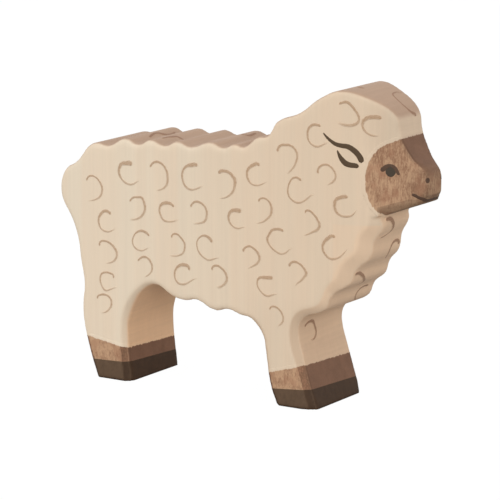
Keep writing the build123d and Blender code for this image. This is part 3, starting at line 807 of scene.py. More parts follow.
# Wool curls of the right side, each in brush order. Every point has its place along the sheep, its
# height and the brush's half width, in mm.
CURLS = [
    [(-44.0, 51.7, 0.22), (-43.4, 52.8, 0.22), (-42.2, 53.2, 0.20), (-41.0, 52.9, 0.20), (-39.95, 52.0, 0.24),
     (-39.2, 50.8, 0.27), (-39.1, 49.4, 0.28), (-39.8, 48.0, 0.24), (-41.2, 47.1, 0.17), (-43.5, 46.5, 0.10)],
    [(-29.5, 57.2, 0.55), (-30.3, 57.6, 0.60), (-31.4, 57.5, 0.50), (-32.8, 57.2, 0.42), (-33.6, 56.1, 0.40),
     (-33.7, 54.7, 0.32), (-32.6, 53.0, 0.24), (-30.7, 52.1, 0.26), (-29.3, 52.3, 0.20), (-27.5, 53.5, 0.12)],
    [(-24.1, 57.1, 0.22), (-23.3, 58.2, 0.24), (-21.8, 58.75, 0.30), (-20.4, 58.3, 0.27), (-19.2, 57.1, 0.28),
     (-18.7, 55.3, 0.33), (-18.85, 53.5, 0.28), (-19.7, 52.3, 0.24), (-22.2, 51.2, 0.13)],
    [(-30.5, 47.6, 0.22), (-29.5, 48.7, 0.22), (-28.1, 49.0, 0.24), (-26.7, 49.0, 0.28), (-26.0, 47.8, 0.34),
     (-25.7, 46.5, 0.33), (-26.3, 44.8, 0.28), (-28.1, 43.4, 0.24), (-30.6, 42.9, 0.17)],
    [(-16.7, 47.5, 0.25), (-17.3, 48.1, 0.32), (-18.3, 48.45, 0.38), (-19.6, 48.35, 0.42),
     (-20.8, 47.7, 0.34), (-21.25, 46.5, 0.24), (-20.95, 45.2, 0.24), (-19.95, 43.9, 0.28),
     (-18.5, 43.65, 0.20), (-16.8, 43.95, 0.17), (-15.6, 44.5, 0.15)],
    [(-36.3, 43.6, 0.30), (-37.0, 44.2, 0.36), (-38.3, 44.4, 0.34), (-39.4, 43.6, 0.36),
     (-40.2, 42.3, 0.30), (-40.15, 40.8, 0.24), (-39.3, 39.5, 0.22), (-37.7, 39.05, 0.22),
     (-36.2, 39.4, 0.16), (-35.1, 40.2, 0.10)],
    [(-40.05, 34.9, 0.22), (-39.9, 36.0, 0.24), (-38.1, 36.5, 0.22), (-36.6, 36.0, 0.28),
     (-35.4, 35.05, 0.33), (-34.65, 33.8, 0.33), (-34.85, 32.45, 0.28), (-36.0, 31.3, 0.20),
     (-38.2, 30.6, 0.10)],
    [(-24.3, 39.2, 0.20), (-25.2, 39.95, 0.33), (-26.8, 40.4, 0.30), (-28.3, 39.85, 0.20),
     (-29.3, 38.7, 0.18), (-29.65, 37.05, 0.20), (-28.9, 35.8, 0.22), (-27.15, 35.2, 0.20),
     (-25.8, 35.6, 0.15), (-24.5, 36.4, 0.10)],
    [(-17.55, 39.45, 0.20), (-17.35, 40.3, 0.22), (-16.0, 40.7, 0.24), (-14.55, 39.75, 0.26),
     (-13.6, 38.5, 0.26), (-13.6, 37.25, 0.24), (-14.1, 36.0, 0.22), (-15.2, 35.3, 0.20),
     (-16.8, 34.9, 0.15), (-18.4, 34.95, 0.08)],
    [(-35.8, 26.85, 0.17), (-35.8, 27.75, 0.24), (-36.85, 28.2, 0.24), (-38.3, 28.25, 0.22),
     (-39.55, 27.65, 0.24), (-39.95, 26.2, 0.22), (-39.55, 24.75, 0.20), (-38.3, 23.5, 0.24),
     (-36.85, 23.9, 0.17), (-34.75, 24.85, 0.10)],
    [(-28.1, 32.35, 0.20), (-27.25, 33.2, 0.22), (-26.0, 33.7, 0.28), (-25.0, 33.5, 0.26),
     (-24.0, 32.45, 0.30), (-23.6, 31.3, 0.28), (-23.9, 30.05, 0.22), (-24.75, 29.1, 0.18),
     (-26.1, 28.4, 0.10)],
    [(-12.15, 31.6, 0.20), (-12.45, 32.65, 0.40), (-13.9, 33.0, 0.42), (-15.4, 32.5, 0.36),
     (-16.3, 31.6, 0.28), (-16.7, 30.3, 0.24), (-16.4, 28.9, 0.22), (-15.5, 28.0, 0.24),
     (-14.1, 27.9, 0.26), (-12.7, 28.4, 0.20), (-11.4, 29.25, 0.14), (-9.75, 30.05, 0.08)],
    [(-40.9, 20.9, 0.20), (-40.8, 21.6, 0.20), (-39.75, 22.15, 0.24), (-38.7, 22.35, 0.26),
     (-37.45, 22.05, 0.24), (-36.6, 21.2, 0.28), (-36.5, 19.95, 0.28), (-37.15, 18.7, 0.22),
     (-38.3, 17.75, 0.18), (-39.75, 17.35, 0.08)],
    [(-11.7, 48.0, 0.24), (-11.3, 48.9, 0.22), (-9.75, 49.7, 0.28), (-8.1, 49.2, 0.26), (-7.05, 48.1, 0.28),
     (-6.85, 46.4, 0.30), (-7.45, 44.95, 0.28), (-8.9, 44.25, 0.20), (-10.9, 43.95, 0.17)],
    [(3.5, 48.3, 0.38), (3.05, 48.6, 0.55), (1.9, 48.7, 0.45), (0.85, 48.5, 0.40), (0.05, 47.8, 0.36),
     (-0.3, 46.6, 0.33), (0.15, 45.3, 0.24), (1.1, 44.45, 0.20), (2.45, 44.1, 0.20), (3.8, 44.45, 0.12),
     (4.8, 44.75, 0.07)],
    [(8.7, 51.4, 0.20), (8.8, 52.0, 0.24), (9.6, 52.5, 0.20), (10.9, 52.4, 0.20), (11.9, 51.6, 0.24),
     (12.45, 50.1, 0.33), (12.1, 48.45, 0.28), (11.1, 47.4, 0.22), (9.8, 46.5, 0.17), (7.95, 45.95, 0.08)],
    [(16.15, 44.8, 0.22), (15.1, 45.15, 0.33), (13.65, 45.1, 0.30), (12.6, 44.7, 0.30), (11.7, 43.5, 0.28),
     (11.2, 42.35, 0.30), (11.8, 41.0, 0.22), (12.95, 39.9, 0.22), (13.9, 39.4, 0.22), (15.1, 39.0, 0.24),
     (16.6, 39.4, 0.16), (17.5, 40.2, 0.12), (18.45, 40.85, 0.08)],
    [(-5.15, 39.55, 0.28), (-5.8, 40.5, 0.40), (-7.35, 41.2, 0.30), (-8.7, 40.8, 0.18), (-9.75, 39.55, 0.16),
     (-9.75, 37.9, 0.18), (-8.9, 36.4, 0.22), (-7.65, 35.5, 0.22), (-6.2, 35.05, 0.24), (-4.75, 35.5, 0.17),
     (-3.1, 36.15, 0.12)],
    [(4.15, 38.2, 0.24), (4.2, 38.9, 0.28), (5.05, 39.65, 0.22), (6.1, 39.95, 0.24), (7.1, 39.55, 0.26),
     (8.4, 38.5, 0.33), (8.9, 37.25, 0.33), (8.4, 36.0, 0.26), (7.1, 35.05, 0.20), (5.45, 34.2, 0.10)],
    [(-5.25, 32.45, 0.20), (-5.15, 33.3, 0.24), (-3.7, 33.9, 0.28), (-2.45, 33.4, 0.28), (-1.2, 32.25, 0.33),
     (-0.8, 31.0, 0.30), (-1.1, 29.95, 0.33), (-2.05, 29.0, 0.24), (-3.3, 28.4, 0.28), (-4.0, 28.5, 0.17)],
    [(12.85, 32.25, 0.24), (12.55, 32.55, 0.42), (11.3, 32.55, 0.42), (10.05, 32.45, 0.36),
     (8.8, 32.15, 0.30), (8.25, 31.2, 0.20), (8.4, 29.95, 0.18), (9.2, 28.9, 0.20),
     (10.25, 28.1, 0.22), (11.4, 27.85, 0.24), (12.75, 28.3, 0.17), (14.2, 28.75, 0.12)],
    [(-9.45, 58.75, 0.40), (-10.05, 59.1, 0.45), (-11.4, 58.9, 0.50), (-12.65, 58.55, 0.34),
     (-13.7, 57.7, 0.28), (-14.25, 56.15, 0.28), (-14.1, 54.9, 0.26), (-13.3, 53.35, 0.28),
     (-11.85, 52.6, 0.28), (-10.15, 52.85, 0.20), (-8.9, 53.45, 0.18), (-8.0, 54.0, 0.15)],
    [(-3.3, 57.4, 0.28), (-2.65, 58.15, 0.40), (-1.4, 58.3, 0.36), (-0.05, 58.05, 0.36), (0.85, 57.3, 0.40),
     (1.6, 56.4, 0.45), (1.6, 55.1, 0.36), (1.2, 53.65, 0.28), (0.25, 52.5, 0.24), (-1.2, 51.6, 0.18),
     (-3.1, 51.15, 0.10)],
    [(9.0, 60.55, 0.24), (8.25, 61.05, 0.40), (7.1, 60.65, 0.42), (6.1, 60.0, 0.36), (5.35, 59.1, 0.33),
     (5.2, 57.95, 0.30), (5.65, 56.7, 0.26), (6.5, 55.85, 0.22), (7.75, 55.55, 0.20), (9.2, 55.85, 0.16),
     (11.0, 56.8, 0.10)],
    [(21.25, 57.95, 0.24), (20.65, 58.35, 0.28), (19.6, 58.7, 0.24), (18.45, 58.25, 0.20), (17.6, 57.0, 0.20),
     (17.2, 55.55, 0.18), (17.3, 54.3, 0.22), (18.25, 53.05, 0.22), (20.0, 52.4, 0.24), (21.6, 52.85, 0.20),
     (23.05, 53.9, 0.16), (23.9, 54.6, 0.14), (24.8, 54.8, 0.10)],
    [(25.95, 60.2, 0.28), (25.85, 61.15, 0.24), (26.8, 62.3, 0.24), (28.25, 62.7, 0.24), (29.4, 62.3, 0.22),
     (30.35, 61.15, 0.20), (30.65, 59.8, 0.22), (30.0, 58.55, 0.24), (28.45, 57.6, 0.10)],
    [(33.65, 55.0, 0.28), (32.85, 55.0, 0.42), (31.6, 54.7, 0.42), (30.75, 54.1, 0.36), (30.45, 53.05, 0.36),
     (30.65, 51.6, 0.30), (31.4, 50.55, 0.24), (32.5, 50.1, 0.24), (33.9, 50.15, 0.24), (34.8, 50.65, 0.17),
     (35.55, 51.8, 0.10)],
    [(22.2, 49.9, 0.12), (22.5, 50.65, 0.24), (23.35, 50.75, 0.26), (24.9, 49.8, 0.26), (25.85, 48.65, 0.30),
     (26.4, 47.4, 0.33), (25.75, 46.25, 0.33), (24.5, 45.55, 0.24), (23.25, 44.9, 0.18), (21.8, 44.3, 0.10)],
    [(30.75, 44.7, 0.28), (29.9, 45.1, 0.36), (28.8, 44.4, 0.42), (27.85, 43.45, 0.36), (27.35, 42.5, 0.30),
     (27.4, 41.4, 0.30), (28.05, 40.35, 0.26), (29.1, 39.5, 0.26), (30.1, 39.3, 0.28), (31.4, 39.7, 0.20),
     (32.4, 40.55, 0.15), (33.45, 42.0, 0.08)],
    [(14.2, 64.5, 0.28), (14.3, 65.4, 0.28), (15.1, 66.25, 0.28), (16.5, 66.55, 0.30), (18.05, 66.45, 0.26),
     (19.3, 65.6, 0.26), (19.9, 64.15, 0.26), (19.6, 62.7, 0.24), (18.9, 61.25, 0.22), (17.0, 59.3, 0.15)],
    [(26.7, 72.1, 0.30), (25.85, 72.25, 0.28), (24.7, 72.3, 0.30), (23.65, 71.75, 0.30), (23.0, 70.85, 0.28),
     (22.85, 69.4, 0.26), (23.25, 68.1, 0.20), (24.3, 67.2, 0.20), (25.65, 66.9, 0.24), (27.0, 67.4, 0.18),
     (28.55, 68.3, 0.15)],
    [(31.25, 77.75, 0.20), (31.9, 78.1, 0.26), (33.15, 78.35, 0.33), (34.1, 77.7, 0.30), (35.1, 76.45, 0.28),
     (35.85, 75.2, 0.26), (36.05, 74.15, 0.24), (35.55, 73.25, 0.33), (34.1, 72.7, 0.36), (32.4, 72.8, 0.28),
     (31.05, 73.25, 0.15)],
    [(41.4, 74.7, 0.28), (40.55, 74.9, 0.45), (39.1, 74.9, 0.45), (37.85, 74.6, 0.45), (37.0, 73.75, 0.40),
     (36.9, 72.5, 0.24), (37.6, 71.25, 0.24), (38.75, 70.5, 0.20), (39.7, 70.3, 0.18), (40.65, 70.4, 0.12)],
    [(17.6, 36.0, 0.28), (18.05, 36.95, 0.26), (19.3, 37.45, 0.28), (20.75, 37.05, 0.26), (22.0, 36.0, 0.30),
     (22.6, 34.95, 0.36), (22.0, 33.9, 0.26), (20.95, 32.75, 0.20), (20.0, 32.05, 0.15), (19.4, 31.3, 0.08)],
    [(11.9, 24.4, 0.15), (12.3, 25.1, 0.20), (13.25, 25.4, 0.22), (14.7, 24.85, 0.24), (15.65, 23.7, 0.24),
     (15.95, 22.45, 0.24), (15.3, 21.2, 0.20), (14.3, 20.5, 0.12)]]
# The left side is painted by the same hand: how far a curl there may move, in mm, and grow
LEFT_DRIFT = 0.7
LEFT_GROWTH = 0.07
# A curl's paint runs out softly at its sides, so its film is this much wider than the paint looks
SOFT_SPREAD = 1.35


def stroke(rows, place, spread=1.0):
    """A stroke: where the first two numbers of each row lie, and the brush's half widths."""
    return [place(a, b) for a, b, _ in rows], [half * spread * MM for _, _, half in rows]


def curl_strokes(side, seed):
    """The curls of one side as strokes. The left ones are a little displaced."""
    chance = random.Random(seed)
    strokes = []
    for rows in CURLS:
        grown, across, up = 1.0, 0.0, 0.0
        if side > 0:
            grown = 1 + chance.uniform(-LEFT_GROWTH, LEFT_GROWTH)
            across, up = (chance.uniform(-LEFT_DRIFT, LEFT_DRIFT) for _ in range(2))
        middle_x, middle_z = (sum(row[i] for row in rows) / len(rows) for i in (0, 1))

        def place(x, z):
            return side_point(middle_x + (x - middle_x) * grown + across,
                              middle_z + (z - middle_z) * grown + up, side)

        strokes.append(stroke(rows, place, SOFT_SPREAD))
    return strokes


# Strokes on the sawn edges, placed by the photograph. Each view is an enlarged part of it: its left
# and upper corner in pixels, and the enlargement. Every point of a stroke has its place in the view
# and the brush's half width in mm.
PHOTO_WIDTH = 500
CHEST_VIEW = (285, 185, 9.8)
HEAD_VIEW = (290, 70, 9.8)
BODY_VIEW = (50, 110, 6.533)
CHEST_STROKES = [
    [(985, 347, 0.35), (1012, 328, 0.55), (1048, 345, 0.60), (1062, 395, 0.50), (1040, 445, 0.35),
     (985, 490, 0.25), (920, 525, 0.15)],
    [(1118, 575, 0.50), (1105, 542, 0.42), (1065, 555, 0.35), (1035, 610, 0.30), (1010, 670, 0.25),
     (980, 720, 0.15)],
    [(685, 875, 0.40), (715, 862, 0.45), (755, 880, 0.45), (775, 915, 0.40), (755, 955, 0.30),
     (700, 985, 0.15)],
    [(815, 978, 0.30), (770, 990, 0.30), (720, 1030, 0.28), (692, 1080, 0.25), (685, 1125, 0.20)]]
LEG_STROKES = [
    [(190, 1390, 0.30), (225, 1345, 0.40), (270, 1332, 0.42), (290, 1380, 0.38), (303, 1440, 0.35),
     (290, 1495, 0.25), (255, 1525, 0.15)]]
FOREHEAD_STROKES = [
    [(1238, 450, 0.40), (1222, 432, 0.50), (1185, 410, 0.35), (1130, 362, 0.25), (1080, 318, 0.22),
     (1035, 275, 0.22), (1008, 242, 0.22), (1025, 221, 0.20), (1060, 217, 0.18), (1095, 224, 0.10)]]
CROWN_STROKES = [[(665, 168, 0.30), (695, 173, 0.50), (725, 183, 0.30)]]
BACK_STROKES = [
    [(665, 140, 0.25), (700, 150, 0.40), (750, 160, 0.45), (795, 157, 0.40), (820, 140, 0.25)],
    [(730, 185, 0.25), (790, 175, 0.40), (840, 178, 0.40), (885, 195, 0.20)],
    [(1250, 160, 0.30), (1290, 165, 0.40), (1330, 155, 0.40), (1345, 148, 0.25)]]

# Strokes on the rump, which the photograph doesn't show: distance to the left, height and the
# brush's half width, in mm
RUMP_STROKES = [
    [(4.0, 53.6, 0.45), (2.0, 54.6, 0.45), (0.2, 52.8, 0.35), (0.6, 50.2, 0.25), (3.4, 48.4, 0.15)],
    [(-4.4, 44.0, 0.45), (-2.4, 45.0, 0.45), (-0.8, 43.2, 0.35), (-1.4, 40.6, 0.25), (-4.2, 38.8, 0.15)],
    [(3.4, 35.4, 0.45), (1.6, 36.4, 0.4), (0.0, 34.6, 0.3), (0.6, 32.0, 0.25), (3.0, 30.4, 0.15)]]


def rump_strokes(tree):
    """The guessed strokes of the rump, pressed on from behind."""
    return [stroke(rows, lambda y, z: pressed(tree, (0, y, z), (1, 0, 0))) for rows in RUMP_STROKES]


def seen_point(tree, stage, view, across, down):
    """Where a point of an enlarged view of the photograph lies on the wood."""
    corner_x, corner_y, enlarged = view
    origin, right, up, back = camera_frame(stage)
    focal = stage.lens / SENSOR_WIDTH * PHOTO_WIDTH
    pixel_x, pixel_y = corner_x + across / enlarged, corner_y + down / enlarged
    aim = -back + right * (pixel_x - PHOTO_WIDTH / 2) / focal + up * (PHOTO_WIDTH / 2 - pixel_y) / focal
    hit = tree.ray_cast(origin, aim.normalized())
    if hit[0] is None:
        hit = tree.find_nearest(origin + aim * stage.distance)
    return hit[0]


def seen_strokes(tree, stage, view, tables):
    """Strokes placed by the photograph, on the wood that carries them."""
    def place(across, down):
        return seen_point(tree, stage, view, across, down)

    return [stroke(rows, place, SOFT_SPREAD) for rows in tables]


# Face, in mm on the side of the head
EAR_UPPER = [(27.3, 70.5, 0.16), (28.05, 69.75, 0.32), (29.5, 68.65, 0.44), (30.75, 67.9, 0.54),
             (32.0, 67.6, 0.60), (33.45, 67.4, 0.68), (34.7, 66.7, 0.74), (35.75, 65.7, 0.76),
             (36.5, 64.5, 0.78), (36.7, 63.5, 0.72)]
EAR_LOWER = [(31.0, 66.45, 0.16), (31.5, 65.2, 0.44), (32.15, 64.15, 0.66), (33.05, 63.25, 0.76),
             (34.1, 62.9, 0.70), (35.1, 62.8, 0.66), (36.1, 62.6, 0.52)]
PUPIL = [(43.5, 63.0, 1.40), (43.5, 60.35, 1.40)]
EYELID = [(41.2, 61.75, 0.58), (41.8, 62.2, 0.64), (42.6, 62.8, 0.66), (43.5, 62.95, 0.62),
          (44.3, 62.65, 0.58), (44.95, 61.85, 0.50), (45.5, 60.85, 0.34)]
FACE_VIEW = (350, 110, 14.25)
NOSTRIL_STROKES = [[(1106, 966, 0.54), (1110, 1044, 0.54)]]
MOUTH_SIDE = [(48.5, 56.25, 0.36), (49.3, 56.05, 0.42), (50.1, 55.6, 0.44), (51.2, 55.1, 0.50)]
# The mouth's way round the chin, pressed on from ahead
CHIN_ACROSS = (-2.4, 0.0, 2.4)
CHIN_HEIGHT = 54.7
CHIN_HALF = 0.45


def side_strokes(rows, side):
    """A stroke on one side of the head."""
    return [stroke(rows, lambda x, z: side_point(x, z, side))]


# Coats of stain and paint

# Edge of the face stain on the side, in mm, from the brow round the cheek to the jaw
CHEEK = [(45.4, 69.5), (44.2, 69.1), (42.8, 68.5), (41.5, 67.8), (40.2, 66.7), (39.3, 65.5),
         (38.4, 63.7), (37.9, 62.3), (37.6, 60.3), (37.6, 58.3), (37.8, 56.3), (38.5, 54.5),
         (39.3, 52.8), (40.7, 51.3), (41.5, 50.5)]
# The stain's straight edge over the brow, and a place ahead of the whole head, in mm
BROW_HEIGHT = 69.8
BROW_START = 45.6
FAR_AHEAD = 60.0
# How deep a coat's border sinks into the wood, as a share of its film, and over what room, in mm
COAT_SUNK = 0.4
COAT_BORDER = 1.2
# How much a foot's underside faces down, where the hoof paint stops
SOLE_FACING = -0.97
# Margin and film of the hoof paint, as shares of the stain's
HOOF_MARGIN = 0.5
HOOF_FILM = 2


def distance_inside(points, corners):
    """Distance in mm from each point to a closed outline, positive inside it."""
    inside = np.zeros(len(points), bool)
    nearest = np.full(len(points), np.inf)
    for (x0, z0), (x1, z1) in zip(corners, corners[1:] + corners[:1]):
        run = np.array([x1 - x0, z1 - z0])
        share = np.clip((points - (x0, z0)) @ run / (run @ run), 0, 1)
        foot = np.array([x0, z0]) + share[:, None] * run
        nearest = np.minimum(nearest, np.linalg.norm(points - foot, axis=1))
        if z0 != z1:
            crosses = (points[:, 1] > min(z0, z1)) & (points[:, 1] <= max(z0, z1))
            at = x0 + (points[:, 1] - z0) * (x1 - x0) / (z1 - z0)
            inside ^= crosses & (points[:, 0] < at)
    return np.where(inside, nearest, -nearest)


def coat_mesh(name, distance, keep, film, room):
    """A thin closed shell over the wood where keep is true, marked with its distance to the edge.

    It sinks into the wood where the room, in mm to its border, runs out.
    """
    wood = bpy.data.objects[WOOD_NAME].data
    points, normals = points_of(wood), normals_of(wood)
    lift = film * (between(room, 0.0, COAT_BORDER) * (1 + COAT_SUNK) - COAT_SUNK)
    faces = [list(f.vertices) for f in wood.polygons if keep[list(f.vertices)].all()]
    if not faces:
        raise RuntimeError(f"the coat {name} has no faces")
    used = sorted({v for face in faces for v in face})
    index = {v: i for i, v in enumerate(used)}
    count = len(used)
    top = [[index[v] for v in face] for face in faces]
    low = [[v + count for v in reversed(face)] for face in top]
    seen = set()
    for face in top:
        for a, b in zip(face, face[1:] + face[:1]):
            seen.add((a, b))
    wall = [[b, a, a + count, b + count] for a, b in seen if (b, a) not in seen]
    outer = points[used] + normals[used] * lift[used, None]
    outer[:, 2] = np.maximum(outer[:, 2], 0)
    inner = points[used] - normals[used] * film
    inner[:, 2] = np.maximum(inner[:, 2], film)
    mesh = bpy.data.meshes.new(name)
    mesh.from_pydata(np.vstack([outer, inner]).tolist(), [], top + low + wall)
    mesh.shade_smooth()
    mark(mesh, "inside", np.tile(distance[used], 2))
    for layer in WOOD_MARKS:
        mark(mesh, layer, np.tile(marks_of(wood, layer)[used], 2))
    return mesh


# Height in mm of each coat's upper edge, at the back and at the front of the foot
FEET = {
    "rear": {"hoof": (4.9, 5.3), "band": (10.9, 8.8)},
    "front": {"hoof": (4.3, 5.5), "band": (8.1, 11.8)},
}
# A coat's upper edge goes down by this much for each mm towards the left side
EDGE_TILT = 0.04


def foot_edge(points, node, heights):
    """Height in mm of a coat's upper edge at each point."""
    low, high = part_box(node)
    share = np.clip((points[:, 0] - low.x) / (high.x - low.x), 0, 1)
    return heights[0] + (heights[1] - heights[0]) * share - EDGE_TILT * (points[:, 1] / MM + HALF_BOARD)


def on_foot(points, foot):
    """True at the points of one foot. The origin lies between the feet."""
    return points[:, 0] > 0 if foot == "front" else points[:, 0] < 0


def worn_down(points, edges, wood):
    """Sands the blank all over, and further at the front sole, the forehead and the muzzle."""
    points = sanded(points, edges, wood.sanding, SANDING_SHARE)
    x, z = points[:, 0].copy(), points[:, 2].copy()
    sole = (1 - zone(z, SOLE_TOP)) * zone(x, SOLE_AHEAD)
    forehead = zone(z, FOREHEAD_UP) * zone(x, FOREHEAD_AHEAD)
    muzzle = zone(x, MUZZLE_AHEAD) * zone(z, MUZZLE_UP) * (1 - zone(z, MUZZLE_TOP))
    for passes, share in ((wood.foot_sanding, sole), (wood.head_sanding, forehead),
                          (wood.muzzle_sanding, muzzle)):
        points = sanded(points, edges, passes, share[:, None] * SANDING_SHARE)
    points[:, 0] += muzzle * SANDED_AWAY * MM
    points[:, 0] -= zone(x, TOE_AHEAD) * (1 - zone(z, TOE_TOP)) * TOE_SANDED * MM
    past = np.maximum(points[:, 0] / MM - NOSE_TURN, 0)
    points[:, 0] += (np.tanh(past / NOSE_REACH) * NOSE_REACH - past) * MM
    return points


class SHEEP_OT_wood(bpy.types.Operator):
    """Saws and sands the blank"""

    bl_idname = "sheep.wood"
    bl_label = "Wood"

    def execute(self, context):
        wood = context.scene.sheep_wood
        mesh = voxel_skin(WOOD_NAME, BLANK_NODES, wood.cell)
        points = worn_down(points_of(mesh), edges_of(mesh), wood)
        low, high = (np.array(corner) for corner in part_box("wood_body"))
        high[0] = (NOSE_TURN + NOSE_REACH) * MM
        mesh.vertices.foreach_set("co", np.clip(points, low, high).ravel())
        mesh.update()
        mesh.shade_smooth()
        mark_wood(mesh)
        add_piece(WOOD_NAME, mesh, wood_material(context.scene), "bare_wood", "wood_body")
        return {"FINISHED"}


class SHEEP_OT_face(bpy.types.Operator):
    """Stains the face"""

    bl_idname = "sheep.face"
    bl_label = "Face stain"

    def execute(self, context):
        stain = context.scene.sheep_stain
        points = points_of(bpy.data.objects[WOOD_NAME].data)
        brow = [(FAR_AHEAD, BROW_HEIGHT), (BROW_START, BROW_HEIGHT)]
        corners = brow + CHEEK + [(FAR_AHEAD, CHEEK[-1][1])]
        distance = distance_inside(points[:, [0, 2]] / MM, corners)
        room = distance + stain.margin / MM
        mesh = coat_mesh("face_coat", distance, room > 0, stain.film, room)
        look = stain_material(context.scene, "face stain")
        add_piece("face_coat", mesh, look, "brown_stain", "face_stain")
        return {"FINISHED"}


class SHEEP_OT_feet(bpy.types.Operator):
    """Stains the bands and paints the hooves"""

    bl_idname = "sheep.feet"
    bl_label = "Bands and hooves"

    def execute(self, context):
        stain = context.scene.sheep_stain
        wood = bpy.data.objects[WOOD_NAME].data
        points = points_of(wood)
        height = points[:, 2] / MM
        margin = stain.margin / MM
        off_sole = normals_of(wood)[:, 2] > SOLE_FACING
        band_look = stain_material(context.scene, "band stain", True)
        hoof_look = hoof_material(context.scene)
        for foot, edges in FEET.items():
            here = on_foot(points, foot)
            band_name, hoof_name = foot + "_band_coat", foot + "_hoof_coat"
            band_node, hoof_node = foot + "_band_stain", foot + "_hoof_paint"
            hoof_top = foot_edge(points, hoof_node, edges["hoof"])
            band_top = foot_edge(points, band_node, edges["band"])
            room = np.minimum(band_top + margin - height, height - hoof_top + margin)
            band = coat_mesh(band_name, band_top - height, here & (room > 0), stain.film, room)
            add_piece(band_name, band, band_look, "brown_stain", band_node)
            room = hoof_top + margin * HOOF_MARGIN - height
            keep = here & off_sole & (room > 0)
            hoof = coat_mesh(hoof_name, hoof_top - height, keep, stain.film * HOOF_FILM, room)
            add_piece(hoof_name, hoof, hoof_look, "hoof_paint", hoof_node)
        return {"FINISHED"}


class SHEEP_OT_ears(bpy.types.Operator):
    """Paints the ear strokes on both sides"""

    bl_idname = "sheep.ears"
    bl_label = "Ears"

    def execute(self, context):
        scene = context.scene
        look = stroke_material(scene, "ear paint", scene.sheep_paint.ear_colour, crisp=True)
        for side, word in SIDES:
            for part, rows in (("upper", EAR_UPPER), ("lower", EAR_LOWER)):
                name, strokes = f"{word}_ear_{part}", side_strokes(rows, side)
                brushed(name, strokes, look, "dark_paint", name + "_stroke", steps=60, sides=16)
        return {"FINISHED"}


class SHEEP_OT_eyes(bpy.types.Operator):
    """Paints the eyes"""

    bl_idname = "sheep.eyes"
    bl_label = "Eyes"

    def execute(self, context):
        scene = context.scene
        colours = scene.sheep_paint
        pupil = stroke_material(scene, "pupil paint", colours.pupil_colour, crisp=True, stained=True)
        lid = stroke_material(scene, "line paint", colours.line_colour, strength=0.97, fade=0.05,
                              crisp=True, stained=True)
        for side, word in SIDES:
            eye, eyelid = side_strokes(PUPIL, side), side_strokes(EYELID, side)
            brushed(word + "_eye", eye, pupil, "dark_paint", word + "_eye_pupil", steps=48, sides=24)
            brushed(word + "_eyelid", eyelid, lid, "dark_paint", word + "_eyelid_line", steps=48)
        return {"FINISHED"}


class SHEEP_OT_muzzle(bpy.types.Operator):
    """Paints the nostrils and the mouth, with the paint of the eyelids"""

    bl_idname = "sheep.muzzle"
    bl_label = "Nostrils and mouth"

    def execute(self, context):
        look = bpy.data.materials["line paint"]
        tree = wood_tree()
        (points, halves), = seen_strokes(tree, context.scene.sheep_stage, FACE_VIEW, NOSTRIL_STROKES)
        mirrored = [Vector((point.x, -point.y, point.z)) for point in points]
        for places, word in ((points, "right"), (mirrored, "left")):
            mark_name, node = word + "_nostril_mark", word + "_nostril"
            brushed(mark_name, [(places, halves)], look, "dark_paint", node, steps=32, sides=16)
        chin = [pressed(tree, (0, y, CHIN_HEIGHT), (-1, 0, 0)) for y in CHIN_ACROSS]
        right, left = (side_strokes(MOUTH_SIDE, side)[0] for side, _ in SIDES)
        points = right[0] + chin + left[0][::-1]
        halves = right[1] + [CHIN_HALF * MM] * len(chin) + left[1][::-1]
        brushed("mouth", [(points, halves)], look, "dark_paint", "mouth_line", steps=120)
        return {"FINISHED"}


class SHEEP_OT_side_curls(bpy.types.Operator):
    """Brushes the wool curls on both sides"""

    bl_idname = "sheep.side_curls"
    bl_label = "Side curls"

    def execute(self, context):
        colours = context.scene.sheep_paint
        look = stroke_material(context.scene, "curl paint", colours.curl_colour, strength=0.9, fade=0.4)
        for side, word in SIDES:
            strokes = curl_strokes(side, colours.seed + side)
            brushed(word + "_curls", strokes, look, "curl_paint", word + "_side_curls")
        return {"FINISHED"}


class SHEEP_OT_edge_curls(bpy.types.Operator):
    """Brushes the strokes on back, chest, leg, forehead and rump"""

    bl_idname = "sheep.edge_curls"
    bl_label = "Curls on the sawn edges"

    def execute(self, context):
        colours = context.scene.sheep_paint
        look = stroke_material(context.scene, "edge curl paint", colours.edge_curl_colour,
                               strength=0.9, fade=0.25)
        tree, stage = wood_tree(), context.scene.sheep_stage
        back = seen_strokes(tree, stage, BODY_VIEW, BACK_STROKES)
        groups = {
            "chest_curls": seen_strokes(tree, stage, CHEST_VIEW, CHEST_STROKES),
            "front_leg_curl": seen_strokes(tree, stage, CHEST_VIEW, LEG_STROKES),
            "forehead_curl": seen_strokes(tree, stage, HEAD_VIEW, FOREHEAD_STROKES),
            "back_curls": back + seen_strokes(tree, stage, HEAD_VIEW, CROWN_STROKES),
            "rump_curls": rump_strokes(tree)}
        for node, strokes in groups.items():
            brushed(node + "_strokes", strokes, look, "curl_paint", node, steps=48)
        return {"FINISHED"}


class SHEEP_OT_stage(bpy.types.Operator):
    """Sets the camera, the light and the floor"""

    bl_idname = "sheep.stage"
    bl_label = "Stage"

    def execute(self, context):
        stage = context.scene.sheep_stage
        add_camera(context.scene, stage)
        add_light(context.scene, stage)
        add_floor(context.scene)
        context.scene.view_settings.view_transform = "Standard"
        return {"FINISHED"}


def camera_frame(stage):
    """Place of the photograph's camera, and its directions to the right, up and back."""
    azimuth, elevation = stage.azimuth, stage.elevation
    back = Vector((math.sin(azimuth) * math.cos(elevation), -math.cos(azimuth) * math.cos(elevation),
                   math.sin(elevation)))
    right = Vector((math.cos(azimuth), math.sin(azimuth), 0))
    up = back.cross(right)
    return stage.distance * back + stage.aim_right * right + stage.aim_up * up, right, up, back


